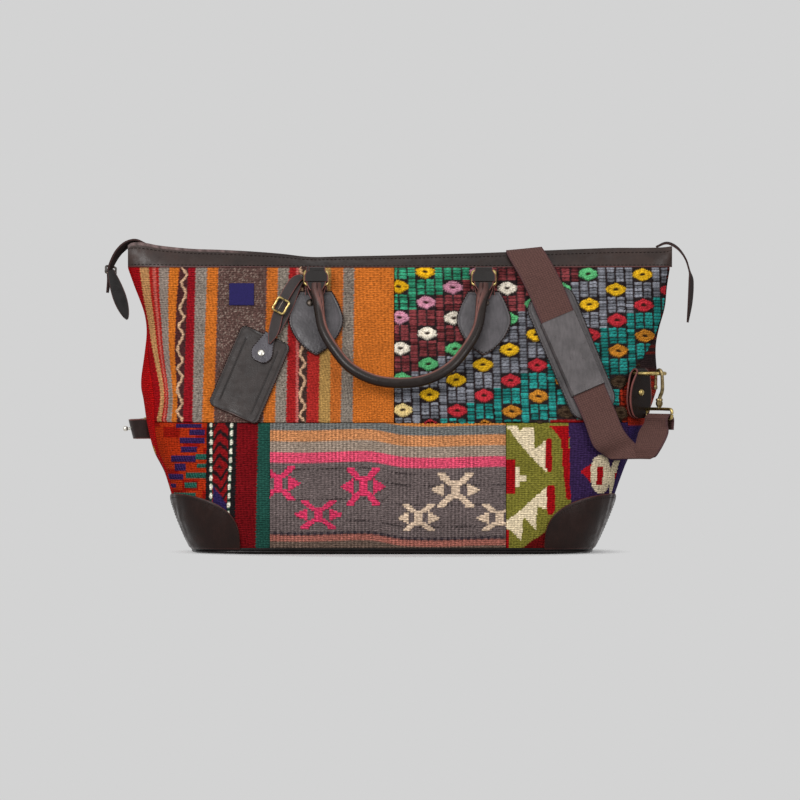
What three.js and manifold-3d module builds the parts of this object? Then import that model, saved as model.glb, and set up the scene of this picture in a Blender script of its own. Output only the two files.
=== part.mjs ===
import * as THREE from 'three';
import Module from 'manifold-3d';

const wasm = await Module();
wasm.setup();

// Sizes of the bag, in millimetres
const SEAM_HEIGHT = 137;
const PANEL_TOP = 299;
const PANEL_THICKNESS = 4;
const BASE_THICKNESS = 4;
const JOIN_GAP = 0.3;
const LIFT = 0.8;
const UPPER_JOIN_X = -6;
const LOWER_LEFT_X = -136;
const LOWER_RIGHT_X = 111;
const BAND_THICKNESS = 3.2;
const BAND_HALF_LENGTH = 282;
const BAND_END_GAP = 5;
const BAND_MIDDLE_GAP = 11;
const TAPE_THICKNESS = 1.6;
const CHAIN_HALF_WIDTH = 2.8;
const CHAIN_HEIGHT = 2;
const PATCH_THICKNESS = 2;
const PATCH_HEIGHT = 62;
const PATCH_FRONT_X = 157.5;
const PATCH_END_Y = 30;
const RIB_DEPTH = 1.1;
const RIB_EDGES = 36;
const PAD_X = 88;
const PAD_DROP = 87;
const PAD_HEIGHT = 66;
const PAD_THICKNESS = 2.4;
const STRAP_LEATHER = 2;
const BAR_HEIGHT = 295;
const RING_WIRE = 1.9;
const RING_HALF_WIDTH = 13;
const RING_DROP = 16;
const NECK_HALF_WIDTH = 6.6;
const HANDLE_RADIUS = 5.8;
const HANDLE_TILT = 29 * Math.PI / 180;
const BAR_STANDOFF = 2.5;
const WRAP_GAP = 0.5;
const WEB_HALF_WIDTH = 19;
const WEB_THICKNESS = 2.2;
const SHOULDER_PAD_HALF_WIDTH = 27;
const SHOULDER_PAD_THICKNESS = 2.6;
const KEEPER_THICKNESS = 1.8;
const D_WIRE = 1.75;
const D_HALF_WIDTH = 13;
const D_REACH = 23;
const HOOK_WIRE = 1.7;
const LOOP_WIRE = 1.7;
const LOOP_HALF_WIDTH = 21.5;
const LOOP_DROP = 12;
const HOOK_LENGTH = 37.4;
const LEFT_TAB_Z = 129;
const RIGHT_TAB_X = 250;
const RIGHT_TAB_Z = 166;
const TAG_HALF_LENGTH = 43.5;
const TAG_HALF_WIDTH = 27.3;
const TAG_THICKNESS = 3;

// Colours and surfaces
const material = (color, roughness, metalness = 0) =>
  new THREE.MeshStandardMaterial({ color, roughness, metalness });
const leather = material('#332c2a', 0.55);
const softLeather = material('#454446', 0.5);
const webbing = material('#57403d', 0.9);
const brass = material('#8a7a3a', 0.35, 1);
const nickel = material('#c9c4b8', 0.3, 1);
const stripedKilim = material('#a5663a', 0.95);
const embroideredKilim = material('#3a3433', 0.95);
const beadedKilim = material('#7d2a26', 0.95);
const motifKilim = material('#6b5a55', 0.95);
const greenKilim = material('#66652e', 0.95);
const redKilim = material('#8e2b22', 0.95);
const blueCloth = material('#232a5c', 0.9);
const zipCloth = material('#2b2423', 0.95);

// A smooth curve through pairs of height and value
function profile(pairs) {
  const curve = new THREE.SplineCurve(pairs.map(([z, value]) => new THREE.Vector2(z, value)));
  const points = curve.getPoints(pairs.length * 12);
  return (z) => {
    let i = 1;
    while (i < points.length - 1 && points[i].x < z) i += 1;
    const before = points[i - 1];
    const after = points[i];
    const share = (z - before.x) / (after.x - before.x);
    return before.y + (after.y - before.y) * share;
  };
}

// Plan of the bag at each height: half length, half depth, lean to one side, boxiness, half width of each end
const halfLength = profile([
  [0, 205], [8, 212], [40, 226], [76, 238], [119, 250], [160, 266], [180, 269], [228, 266], [265, 275],
  [302, 285],
]);
const halfDepth = profile([[0, 116], [40, 121], [90, 114], [137, 101], [200, 74], [250, 52], [302, 30]]);
const lean = profile([
  [0, -8.2], [40, -7.8], [80, -6.8], [119, -4.6], [160, -1.6], [195, -0.3], [215, 0.6], [240, 3.4], [257, 4],
  [280, 0.8], [302, -1.5],
]);
const boxiness = profile([[0, 5.5], [60, 5], [137, 3.8], [200, 2.9], [302, 2.3]]);
const leftEnd = profile([[0, 75], [62, 68], [119, 60], [170, 48], [228, 14], [302, 6]]);
const rightEnd = profile([[0, 75], [62, 72], [119, 70], [170, 64], [215, 28], [240, 14], [302, 6]]);

// Share of the depth left over when a share of the length is used up, round the plan
const rest = (share, z) => Math.max(0, 1 - Math.abs(share) ** boxiness(z)) ** (1 / boxiness(z));

// Point of the bag's outside; turn 0 is the middle of the front, a quarter turn is the right end
function shell(turn, z, lift = 0) {
  const n = boxiness(z);
  const reach = (Math.abs(Math.sin(turn)) ** n + Math.abs(Math.cos(turn)) ** n) ** (-1 / n);
  const x = lean(z) + (halfLength(z) + lift) * reach * Math.sin(turn);
  const y = -(halfDepth(z) + lift) * reach * Math.cos(turn);
  return new THREE.Vector3(x, y, z);
}

// Turn on the front at which the outside reaches a distance along the length
function turnAt(x, z) {
  const share = Math.max(-1, Math.min((x - lean(z)) / halfLength(z), 1));
  return Math.atan2(share, rest(share, z));
}

// Turn on the front at which the front panel meets an end
function seamTurn(end, z) {
  const share = end(z) / halfDepth(z);
  return Math.atan2(rest(share, z), share);
}

// Point over the front, by distance along the length, height and distance off the cloth
function onFront(x, z, lift) {
  const share = (x - lean(z)) / halfLength(z);
  return new THREE.Vector3(x, -halfDepth(z) * rest(share, z) - lift, z);
}

// Closed sheet between an inner face (0) and an outer face (1) over a grid
function wall(pointAt, across, along) {
  const positions = [];
  const index = [];
  const row = across + 1;
  const layer = row * (along + 1);
  for (let side = 0; side < 2; side += 1) {
    for (let j = 0; j <= along; j += 1) {
      for (let i = 0; i <= across; i += 1) positions.push(...pointAt(i / across, j / along, side).toArray());
    }
  }
  const quad = (a, b, c, d) => index.push(a, b, c, a, c, d);
  for (let j = 0; j < along; j += 1) {
    for (let i = 0; i < across; i += 1) {
      const corner = j * row + i;
      quad(layer + corner, layer + corner + 1, layer + corner + row + 1, layer + corner + row);
      quad(corner, corner + row, corner + row + 1, corner + 1);
    }
  }
  for (let i = 0; i < across; i += 1) {
    const end = along * row + i;
    quad(i, i + 1, layer + i + 1, layer + i);
    quad(end, layer + end, layer + end + 1, end + 1);
  }
  for (let j = 0; j < along; j += 1) {
    const left = j * row;
    const right = left + across;
    quad(left, layer + left, layer + left + row, left + row);
    quad(right, right + row, layer + right + row, layer + right);
  }
  return facingOut(positions, index);
}

// Turns every triangle round when the body comes out inside out
function facingOut(positions, index) {
  const at = (k) => new THREE.Vector3().fromArray(positions, index[k] * 3);
  let volume = 0;
  for (let k = 0; k < index.length; k += 3) volume += at(k).dot(at(k + 1).cross(at(k + 2)));
  const order = volume < 0 ? index.slice().reverse() : index;
  const geometry = new THREE.BufferGeometry();
  geometry.setAttribute('position', new THREE.Float32BufferAttribute(positions, 3));
  geometry.setIndex(order);
  return geometry;
}

// Solid body of a geometry, with the corners that meet counted once
function solidOf(geometry) {
  const position = geometry.getAttribute('position');
  const seen = new Map();
  const corners = [];
  const numberOf = (i) => {
    const point = [position.getX(i), position.getY(i), position.getZ(i)];
    const key = point.map((value) => Math.round(value * 1000)).join(' ');
    if (!seen.has(key)) {
      seen.set(key, seen.size);
      corners.push(...point);
    }
    return seen.get(key);
  };
  const count = geometry.index ? geometry.index.count : position.count;
  const cornerOf = (k) => (geometry.index ? geometry.index.getX(k) : k);
  const order = Array.from({ length: count }, (_, k) => numberOf(cornerOf(k)));
  const triangles = [];
  for (let k = 0; k < count; k += 3) {
    if (new Set(order.slice(k, k + 3)).size === 3) triangles.push(...order.slice(k, k + 3));
  }
  return new wasm.Manifold(new wasm.Mesh({
    numProp: 3, vertProperties: new Float32Array(corners), triVerts: new Uint32Array(triangles),
  }));
}

// Pieces that are one body in the bag
function joined(...geometries) {
  const mesh = geometries.map(solidOf).reduce((whole, next) => whole.add(next)).getMesh();
  return facingOut(Array.from(mesh.vertProperties), Array.from(mesh.triVerts));
}

const mix = (from, to, share) => from + (to - from) * share;
const always = (value) => () => value;

// Cloth panel between two edges given as turns, over rows at given heights
function panel(fromTurn, toTurn, rows, across, relief = () => 0) {
  const along = rows.length - 1;
  return wall((u, v, side) => {
    const z = rows[Math.round(v * along)];
    const turn = mix(fromTurn(z), toTurn(z), u);
    return shell(turn, z, side ? relief(Math.round(u * across)) : -PANEL_THICKNESS);
  }, across, along);
}

const frontLeftSeam = (z) => -seamTurn(leftEnd, z) + JOIN_GAP / halfDepth(z);
const frontRightSeam = (z) => seamTurn(rightEnd, z) - JOIN_GAP / halfDepth(z);
const backRightSeam = (z) => Math.PI - frontRightSeam(z);
const backLeftSeam = (z) => Math.PI - frontLeftSeam(z);
const beside = (x, gap) => (z) => turnAt(x + gap, z);
const behind = (x, gap) => (z) => Math.PI - turnAt(x + gap, z);

const bag = new THREE.Group();
bag.name = 'kilim_weekender_bag';

function add(name, geometry, look) {
  const mesh = new THREE.Mesh(geometry, look);
  mesh.name = name;
  bag.add(mesh);
  return mesh;
}

// Same piece on the other side, half a turn round the upright middle
const turnedRound = (geometry) => geometry.clone().rotateZ(Math.PI);

// Cloth panels
const half = JOIN_GAP / 2;
const steps = (from, to, count) => Array.from({ length: count + 1 }, (_, i) => mix(from, to, i / count));
const lowerRows = steps(BASE_THICKNESS + JOIN_GAP, SEAM_HEIGHT - half, 5);
const upperRows = steps(SEAM_HEIGHT + half, PANEL_TOP, 5);
const allRows = [...lowerRows, ...upperRows];
const ribs = (edge) => RIB_DEPTH * (edge % 2);

add('front_upper_striped_panel',
  panel(frontLeftSeam, beside(UPPER_JOIN_X, -half), upperRows, 9), stripedKilim);
add('front_upper_embroidered_panel',
  panel(beside(UPPER_JOIN_X, half), frontRightSeam, upperRows, RIB_EDGES, ribs), embroideredKilim);
add('front_lower_left_panel',
  panel(frontLeftSeam, beside(LOWER_LEFT_X, -half), lowerRows, 8), beadedKilim);
add('front_lower_centre_panel',
  panel(beside(LOWER_LEFT_X, half), beside(LOWER_RIGHT_X, -half), lowerRows, 6), motifKilim);
add('front_lower_right_panel',
  panel(beside(LOWER_RIGHT_X, half), frontRightSeam, lowerRows, 8), greenKilim);
add('back_upper_left_panel',
  panel(behind(0, -half), backLeftSeam, upperRows, 7), stripedKilim);
add('back_upper_right_panel',
  panel(backRightSeam, behind(0, half), upperRows, 7), redKilim);
add('back_lower_panel',
  panel(backRightSeam, backLeftSeam, lowerRows, 16), beadedKilim);

// End panels
const endGap = (z) => JOIN_GAP / halfDepth(z);
add('right_gusset',
  panel((z) => frontRightSeam(z) + endGap(z), (z) => backRightSeam(z) - endGap(z),
    allRows, 6), redKilim);
add('left_gusset',
  panel((z) => backLeftSeam(z) + endGap(z), (z) => Math.PI * 2 + frontLeftSeam(z) - endGap(z),
    allRows, 6), redKilim);

// Flat leather base that the bag stands on
function basePlate() {
  const outline = steps(0, Math.PI * 2, 36).slice(0, -1).map((turn) => shell(turn, BASE_THICKNESS, LIFT));
  const shape = new THREE.Shape(outline.map((point) => new THREE.Vector2(point.x, point.y)));
  return new THREE.ExtrudeGeometry(shape, { depth: BASE_THICKNESS, bevelEnabled: false });
}
add('base_panel', basePlate(), leather);

// Leather bands along the mouth, leaning in over the zip
const topEdge = (x) => 313.5 + 11.5 * (x / BAND_HALF_LENGTH) ** 2;
const mouthGap = (x) => mix(BAND_MIDDLE_GAP, BAND_END_GAP, (x / BAND_HALF_LENGTH) ** 2);
const bandStart = PANEL_TOP + JOIN_GAP;
function topBand() {
  return wall((u, v, side) => {
    const x = mix(-BAND_HALF_LENGTH, BAND_HALF_LENGTH, u);
    const foot = onFront(x, bandStart, LIFT).y;
    const y = mix(foot, -mouthGap(x), v) + (side ? 0 : BAND_THICKNESS);
    return new THREE.Vector3(x, y, mix(bandStart, topEdge(x), v));
  }, 14, 2);
}
add('front_top_band', topBand(), leather);
add('back_top_band', turnedRound(topBand()), leather);

// Zip along the mouth: tape with the closed chain on it
const tapeTop = (x) => topEdge(x) - CHAIN_HEIGHT - 1;
const tapeHalf = (x) => mouthGap(x) - BAND_THICKNESS - JOIN_GAP;
function zipStrip(halfWidth, bottom, height) {
  return wall((u, v, side) => {
    const x = mix(-BAND_HALF_LENGTH, BAND_HALF_LENGTH, u);
    return new THREE.Vector3(x, mix(-halfWidth(x), halfWidth(x), v), bottom(x) + side * height);
  }, 14, 1);
}
add('zip_tape', zipStrip(tapeHalf, (x) => tapeTop(x) - TAPE_THICKNESS, TAPE_THICKNESS), zipCloth);
add('zip_chain', zipStrip((x) => Math.min(CHAIN_HALF_WIDTH, tapeHalf(x)),
  (x) => tapeTop(x) + JOIN_GAP, CHAIN_HEIGHT), brass);

// Leather patches round the lower corners
function cornerPatch(place) {
  return wall((u, v, side) => {
    const rise = Math.max(0.12, (1 - Math.abs(2 * u - 1) ** 2.2) ** (1 / 2.2));
    const z = mix(BASE_THICKNESS + JOIN_GAP, PATCH_HEIGHT, v * rise);
    const turn = mix(turnAt(lean(z) + PATCH_FRONT_X, z), seamTurn(always(PATCH_END_Y), z), u);
    return shell(place(turn), z, LIFT + side * PATCH_THICKNESS);
  }, 10, 3);
}
add('front_right_corner_patch', cornerPatch((turn) => turn), leather);
add('front_left_corner_patch', cornerPatch((turn) => -turn), leather);
add('back_left_corner_patch', cornerPatch((turn) => Math.PI + turn), leather);
add('back_right_corner_patch', cornerPatch((turn) => Math.PI - turn), leather);

// Shield-shaped handle pads sewn to the cloth
const shieldFoot = BAR_HEIGHT - PAD_DROP;
const padHalfWidth = profile([[0, 1], [7, 12], [20, 23], [35, 28.5], [50, 25], [66, 17]]);
const padLift = LIFT + RIB_DEPTH;
function handlePad(x, underside) {
  return wall((u, v, side) => {
    const up = mix(0, PAD_HEIGHT, v);
    const spot = x + mix(-1, 1, u) * padHalfWidth(up);
    return onFront(spot, shieldFoot + up, mix(underside, padLift + PAD_THICKNESS, side));
  }, 3, 7);
}

// The swinging handle lies in a plane through the bars of its rings
const barY = onFront(PAD_X, BAR_HEIGHT, padLift + STRAP_LEATHER + BAR_STANDOFF + WRAP_GAP + RING_WIRE).y;
function handlePlane(x, along, off = 0) {
  const y = barY - along * Math.sin(HANDLE_TILT) - off * Math.cos(HANDLE_TILT);
  return new THREE.Vector3(x, y, BAR_HEIGHT - along * Math.cos(HANDLE_TILT) + off * Math.sin(HANDLE_TILT));
}

// Strap of even thickness whose inner face follows a path; its width runs along a given way
function strap(points, widthWay, halfWidth, thickness, count, across = 1) {
  const curve = new THREE.CatmullRomCurve3(points, false, 'centripetal');
  return wall((u, v, side) => {
    const way = widthWay(u).clone().normalize();
    const out = new THREE.Vector3().crossVectors(curve.getTangent(u), way).normalize();
    const point = curve.getPoint(u).addScaledVector(way, mix(-1, 1, v) * halfWidth(u));
    return point.addScaledVector(out, side * thickness);
  }, count, across);
}
const alongX = always(new THREE.Vector3(1, 0, 0));

// Neck strap from the pad, folded over the bar of the ring
const wrapRadius = RING_WIRE + WRAP_GAP;
function neck(x) {
  const neckLift = padLift + STRAP_LEATHER;
  const path = [onFront(x, BAR_HEIGHT - 25, neckLift), onFront(x, BAR_HEIGHT - 11, neckLift + 0.6)];
  for (const angle of steps(0.2, Math.PI, 6)) {
    const y = barY + wrapRadius * Math.cos(angle);
    path.push(new THREE.Vector3(x, y, BAR_HEIGHT + wrapRadius * Math.sin(angle)));
  }
  path.push(handlePlane(x, 9, wrapRadius));
  return strap(path, alongX, always(NECK_HALF_WIDTH), STRAP_LEATHER, 16);
}

// Ring that hangs from the neck and carries the handle
function handleRing(x) {
  const corner = 2.5;
  const path = [];
  for (const [sideX, along, start] of [[1, 0, 0], [1, 1, 1], [-1, 1, 2], [-1, 0, 3]]) {
    const middle = [sideX * (RING_HALF_WIDTH - corner), mix(corner, RING_DROP - corner, along)];
    for (const step of steps(0, 1, 2)) {
      const angle = (start + step - 1) * Math.PI / 2;
      const across = x + middle[0] + corner * Math.cos(angle);
      path.push(handlePlane(across, middle[1] + corner * Math.sin(angle)));
    }
    if (start % 2 === 1) {
      for (const share of [0.5, -0.5]) {
        path.push(handlePlane(x + sideX * share * RING_HALF_WIDTH, along * RING_DROP));
      }
    }
  }
  const curve = new THREE.CatmullRomCurve3(path, true, 'centripetal');
  return new THREE.TubeGeometry(curve, 18, RING_WIRE, 5, true);
}

// Leather loop at each end of the handle, round the foot of the ring
function handleLoop(x) {
  const path = [handlePlane(x, RING_DROP + 8, -wrapRadius)];
  for (const angle of steps(0, Math.PI, 6)) {
    path.push(handlePlane(x, RING_DROP - wrapRadius * Math.sin(angle), -wrapRadius * Math.cos(angle)));
  }
  path.push(handlePlane(x, RING_DROP + 8, wrapRadius));
  return strap(path, alongX, always(8), STRAP_LEATHER, 12);
}

// Rolled leather handle
function handle() {
  const start = RING_DROP + 6;
  const halfway = [[86, 33], [81, 68.5], [68, 94.5], [51, 116], [26, 130], [0, 133.5]];
  const leg = [[PAD_X, start], [PAD_X - 0.3, start + 3], ...halfway];
  const points = leg.map(([x, along]) => handlePlane(-x, along));
  for (const [x, along] of leg.slice(0, -1).reverse()) points.push(handlePlane(x, along));
  const round = new THREE.EllipseCurve(0, 0, HANDLE_RADIUS, HANDLE_RADIUS);
  const section = new THREE.Shape(round.getPoints(7).slice(0, -1));
  const extrudePath = new THREE.CatmullRomCurve3(points, false, 'centripetal');
  return new THREE.ExtrudeGeometry(section, { steps: 22, bevelEnabled: false, extrudePath });
}

// Dome rivets through the handle pads
function dome(radius, height, point, way) {
  const curve = new THREE.EllipseCurve(0, 0, radius, height, 0, Math.PI / 2);
  const outline = [new THREE.Vector2(0, 0), ...curve.getPoints(3)];
  outline[outline.length - 1].x = 0;
  const geometry = new THREE.LatheGeometry(outline, 8);
  const upright = new THREE.Vector3(0, 1, 0);
  geometry.applyQuaternion(new THREE.Quaternion().setFromUnitVectors(upright, way.clone().normalize()));
  return geometry.translate(point.x, point.y, point.z);
}
const frontWay = new THREE.Vector3(0, -Math.cos(HANDLE_TILT), Math.sin(HANDLE_TILT));
const rivetLift = padLift + PAD_THICKNESS + JOIN_GAP + 1;
const padRivet = (x) => dome(3.6, 2.2, onFront(x, shieldFoot + 54, rivetLift), frontWay);

for (const [side, x] of [['left', -PAD_X], ['right', PAD_X]]) {
  const other = side === 'left' ? 'right' : 'left';
  const overRibs = x > 0 ? padLift : LIFT;
  add(`front_${side}_handle_pad`, joined(handlePad(x, overRibs), neck(x)), softLeather);
  add(`back_${other}_handle_pad`, turnedRound(joined(handlePad(x, LIFT), neck(x))), softLeather);
  add(`front_${side}_pad_rivet`, padRivet(x * 1.07), brass);
  add(`back_${other}_pad_rivet`, turnedRound(padRivet(x * 1.07)), brass);
  add(`front_${side}_ring`, handleRing(x), brass);
  add(`back_${other}_ring`, turnedRound(handleRing(x)), brass);
}
const loopedHandle = joined(handle(), handleLoop(-PAD_X), handleLoop(PAD_X));
add('front_handle', loopedHandle, leather);
add('back_handle', turnedRound(loopedHandle), leather);

const vector = (x, y, z) => new THREE.Vector3(x, y, z);
const rod = (points, radius, count, sides = 7) => {
  const section = new THREE.Shape(new THREE.EllipseCurve(0, 0, radius, radius).getPoints(sides).slice(0, -1));
  const extrudePath = new THREE.CatmullRomCurve3(points, false, 'centripetal');
  return new THREE.ExtrudeGeometry(section, { steps: count, bevelEnabled: false, extrudePath });
};
const hoop = (points, radius, count, sides = 6) =>
  new THREE.TubeGeometry(new THREE.CatmullRomCurve3(points, true, 'centripetal'), count, radius, sides, true);
const between = (ways) => (u) => {
  const place = u * (ways.length - 1);
  const first = Math.min(Math.floor(place), ways.length - 2);
  return ways[first].clone().lerp(ways[first + 1], place - first);
};

// Turned stud, from a profile of radius and height, set at a point and pointing along a way
function stud(pairs, point, way) {
  const outline = pairs.map(([radius, height]) => new THREE.Vector2(radius, height));
  const geometry = new THREE.LatheGeometry(outline, 9);
  const turn = new THREE.Quaternion().setFromUnitVectors(vector(0, 1, 0), way.clone().normalize());
  geometry.applyQuaternion(turn);
  return geometry.translate(point.x, point.y, point.z);
}

// Place in a frame with a middle point and two ways
const inFrame = (middle, first, second) => (a, b) =>
  middle.clone().addScaledVector(first, a).addScaledVector(second, b);

// D ring: a straight bar and an arc reaching out from it
function dRing(bar, barWay, reachWay) {
  const at = inFrame(bar, barWay, reachWay);
  const points = [at(-D_HALF_WIDTH * 0.5, 0), at(D_HALF_WIDTH * 0.5, 0), at(D_HALF_WIDTH - 2, 0.6)];
  for (const angle of steps(0, Math.PI, 8)) {
    points.push(at(D_HALF_WIDTH * Math.cos(angle), 5 + (D_REACH - 5) * Math.sin(angle)));
  }
  points.push(at(2 - D_HALF_WIDTH, 0.6));
  return hoop(points, D_WIRE, 22, 5);
}

// Snap hook on a ring wire: hook with its barrel, sliding trigger, and the loop for the webbing
const hookBend = D_WIRE + HOOK_WIRE + 0.5;
const triggerSide = -5.8;
function hookBody(wire, axis, side) {
  const at = inFrame(wire, axis, side);
  const path = [at(28, 0), at(24, 1.5), at(18, 4.6), at(7, 4.8), at(0, hookBend)];
  for (const angle of steps(0.7, 2.5, 3)) {
    path.push(at(-hookBend * Math.sin(angle), hookBend * Math.cos(angle)));
  }
  path.push(at(0, -hookBend - 0.6), at(4.5, triggerSide + 0.4));
  const barrel = stud([[0, 0], [3.7, 0], [3.7, 7], [2.4, 9], [0, 9]], at(26, 0), axis);
  return joined(rod(path, HOOK_WIRE, 14, 6), barrel);
}
function hookTrigger(wire, axis, side) {
  const at = inFrame(wire, axis, side);
  return stud([[0, 0], [1.2, 0], [1.2, 7], [2, 8], [2, 11], [1.2, 12], [0, 12]], at(4.9, triggerSide), axis);
}
function webLoop(wire, axis, wide) {
  const at = inFrame(wire.clone().addScaledVector(axis, HOOK_LENGTH), wide, axis);
  const corner = 2.5;
  const wideTo = LOOP_HALF_WIDTH;
  const points = [];
  for (const [way, level] of [[1, 0], [-1, LOOP_DROP]]) {
    points.push(at(way * (corner - wideTo), level), at(0, level), at(way * (wideTo - corner), level));
    points.push(at(way * wideTo, level + way * corner), at(way * wideTo, LOOP_DROP - level - way * corner));
  }
  return hoop(points, LOOP_WIRE, 20, 5);
}

// Right end tab: folded leather over the bar of the D ring, pinned with a dome
const rightTabFoot = onFront(RIGHT_TAB_X, RIGHT_TAB_Z, 0);
const rightOut = vector(0.65, -0.76, 0).normalize();
const rightAcross = vector(0.76, 0.65, 0).normalize();
const rightAt = (along, out) => rightTabFoot.clone().addScaledVector(rightOut, out).add(vector(0, 0, along));
const tabWrap = D_WIRE + 1.9;
const rightBar = rightAt(22, 7);
function rightTab() {
  const path = [rightAt(-25, 4.4), rightAt(-8, 4.4), rightAt(10, 4.4)];
  for (const angle of steps(0, Math.PI, 6)) {
    path.push(rightAt(22 + tabWrap * Math.sin(angle), 7 - tabWrap * Math.cos(angle)));
  }
  path.push(rightAt(10, 8.2), rightAt(-8, 7.2), rightAt(-25, 7.2));
  const tip = (u) => Math.min(1, Math.sin(Math.PI * Math.min(u, 1 - u)) * 4 + 0.45);
  const waist = (u) => mix(7.6, 11.5, Math.min(1, Math.abs(u - 0.5) * 3.4));
  return strap(path, always(rightAcross), (u) => waist(u) * tip(u), STRAP_LEATHER, 26);
}
add('right_end_tab', rightTab(), leather);
add('right_tab_stud', dome(3.7, 2.4, rightAt(2, 10.2), rightOut), brass);
add('right_d_ring', dRing(rightBar, rightAcross, rightOut), brass);

const rightWire = rightBar.clone().addScaledVector(rightOut, D_REACH);
const down = vector(0, 0, -1);
add('right_hook', hookBody(rightWire, down, rightOut), brass);
add('right_hook_trigger', hookTrigger(rightWire, down, rightOut), brass);
add('right_web_loop', webLoop(rightWire, down, vector(1, 0, 0)), brass);

// Left end tab: leather loop standing off the end, holding a D ring at the back
const leftFace = lean(LEFT_TAB_Z) - halfLength(LEFT_TAB_Z);
const leftAt = (out, y) => vector(leftFace - out, y, LEFT_TAB_Z);
const leftBar = leftAt(11, 34);
const leftUp = vector(-0.25, 0, 1).normalize();
function leftTab() {
  const path = [leftAt(4, -9), leftAt(11, -10.5), leftAt(20, -9.5), leftAt(24, -4)];
  path.push(leftAt(24, 8), leftAt(18, 23));
  for (const angle of steps(0.3, Math.PI - 0.3, 5)) {
    path.push(leftAt(11 + tabWrap * Math.cos(angle), 34 + tabWrap * Math.sin(angle)));
  }
  path.push(leftAt(6.2, 24), leftAt(6.2, 14), leftAt(6.2, 4));
  return strap(path, always(leftUp.clone().negate()), always(10.5), STRAP_LEATHER, 26);
}
add('left_end_tab', leftTab(), leather);
add('left_tab_stud', stud([[0, 0], [1.5, 0], [1.5, 2.6], [2.7, 4], [2.7, 6], [1.4, 7.6], [0, 7.6]],
  leftAt(27.2, 2), vector(-1, 0, 0)), brass);
const leftReach = vector(0.22, 0.975, 0).normalize();
add('left_d_ring', dRing(leftBar, leftUp, leftReach), brass);
const leftWire = leftBar.clone().addScaledVector(leftReach, D_REACH);
const leftAxis = vector(0.55, 0.83, -0.1).normalize();
const leftSide = vector(0.83, -0.55, 0).normalize();
add('left_hook', hookBody(leftWire, leftAxis, leftSide), brass);
add('left_hook_trigger', hookTrigger(leftWire, leftAxis, leftSide), brass);
add('left_web_loop', webLoop(leftWire, leftAxis, vector(0, 0, 1)), brass);

// Shoulder strap: webbing from the left loop, behind the bag, over the mouth and down the front
const onBack = (x, z, lift) => onFront(x, z, lift).multiply(vector(1, -1, 1));
const webWrap = LOOP_WIRE + 1;
const leftLoopBar = leftWire.clone().addScaledVector(leftAxis, HOOK_LENGTH + LOOP_DROP);
const rightLoopBar = rightWire.clone().addScaledVector(down, HOOK_LENGTH + LOOP_DROP);
const padTop = new THREE.Vector2(152, 276);
const padFoot = new THREE.Vector2(208, 142);
const runWay = (share) => vector(0.922, mix(0.215, 0.44, share), 0.386).normalize();
function onRun(share, off) {
  const place = (at) => {
    const spot = padTop.clone().lerp(padFoot, at);
    return onFront(spot.x, spot.y, padLift);
  };
  const along = place(share + 0.05).sub(place(share - 0.05));
  return place(share).addScaledVector(along.cross(runWay(share)).normalize(), off);
}
const webOff = SHOULDER_PAD_THICKNESS + WRAP_GAP;
const webLift = padLift + webOff + 1;
const runShares = steps(0, 1, 5);
function strapWebbing() {
  const stations = [];
  const upright = vector(0, 0, -1);
  const leftOff = inFrame(leftLoopBar, leftAxis, leftSide);
  stations.push([leftOff(14, webWrap), upright], [leftOff(4, webWrap), upright]);
  for (const angle of steps(0, Math.PI, 4)) {
    stations.push([leftOff(-webWrap * Math.sin(angle), webWrap * Math.cos(angle)), upright]);
  }
  stations.push([leftOff(14, -webWrap - 1), upright]);
  stations.push([onBack(-188, 112, 10), vector(-0.2, 0.4, -0.9)]);
  stations.push([onBack(-120, 90, 14), vector(-0.15, 0.6, -0.8)]);
  stations.push([onBack(-40, 74, 18), vector(0, 0.75, -0.65)]);
  stations.push([onBack(40, 76, 19), vector(0.2, 0.75, -0.6)]);
  stations.push([onBack(100, 104, 17), vector(0.7, 0.5, -0.45)]);
  stations.push([onBack(126, 150, 9), vector(0.98, 0.1, -0.1)]);
  for (const z of [205, 255, 297]) stations.push([onBack(129, z, 6), vector(1, -0.1, 0)]);
  for (const [y, z] of [[14, 319], [0, 322], [-14, 319]]) stations.push([vector(131, y, z), vector(1, 0, 0)]);
  stations.push([onFront(142, 297, webLift), vector(0.94, 0.2, 0.3)]);
  for (const share of runShares) stations.push([onRun(share, webOff), runWay(share)]);
  stations.push([onFront(219, 116, webLift + 5), vector(0.922, 0.3, 0.386)]);
  const fold = onFront(228, 101, webLift + 9);
  for (const [x, y, z] of [[2, 0, -5], [4, -6, -9], [8, -13, -7], [12, -14, 0]]) {
    stations.push([fold.clone().add(vector(x, y, z)), vector(0.97, 0.2, -0.05)]);
  }
  const over = webWrap + WEB_THICKNESS;
  stations.push([rightLoopBar.clone().add(vector(-12, -14, -18)), vector(0.88, 0.1, -0.45)]);
  for (const [y, z] of [[-over - 1, -6], [-over, 1], [0, over], [over, 1], [over, -12]]) {
    stations.push([rightLoopBar.clone().add(vector(0, y, z)), vector(1, 0, 0)]);
  }
  return strap(stations.map(([point]) => point), between(stations.map(([, way]) => way)),
    always(WEB_HALF_WIDTH), WEB_THICKNESS, 66);
}
add('shoulder_strap', strapWebbing(), webbing);

// Shoulder pad under the webbing and the leather keeper over it
const roundEnds = (u) => Math.sqrt(Math.max(0.04, 1 - Math.max(0, Math.abs(2 * u - 1) * 4 - 3) ** 2));
function runPiece(shares, off, halfWidth, thickness, count) {
  return strap(shares.map((share) => onRun(share, off)), between(shares.map(runWay)),
    (u) => halfWidth * roundEnds(u), thickness, count);
}
add('shoulder_pad', runPiece(runShares, 0, SHOULDER_PAD_HALF_WIDTH, SHOULDER_PAD_THICKNESS, 18), softLeather);
const keeperOff = webOff + WEB_THICKNESS + WRAP_GAP;
add('pad_keeper', runPiece(runShares.slice(1, 5), keeperOff, 19.5, KEEPER_THICKNESS, 9), softLeather);

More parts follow.
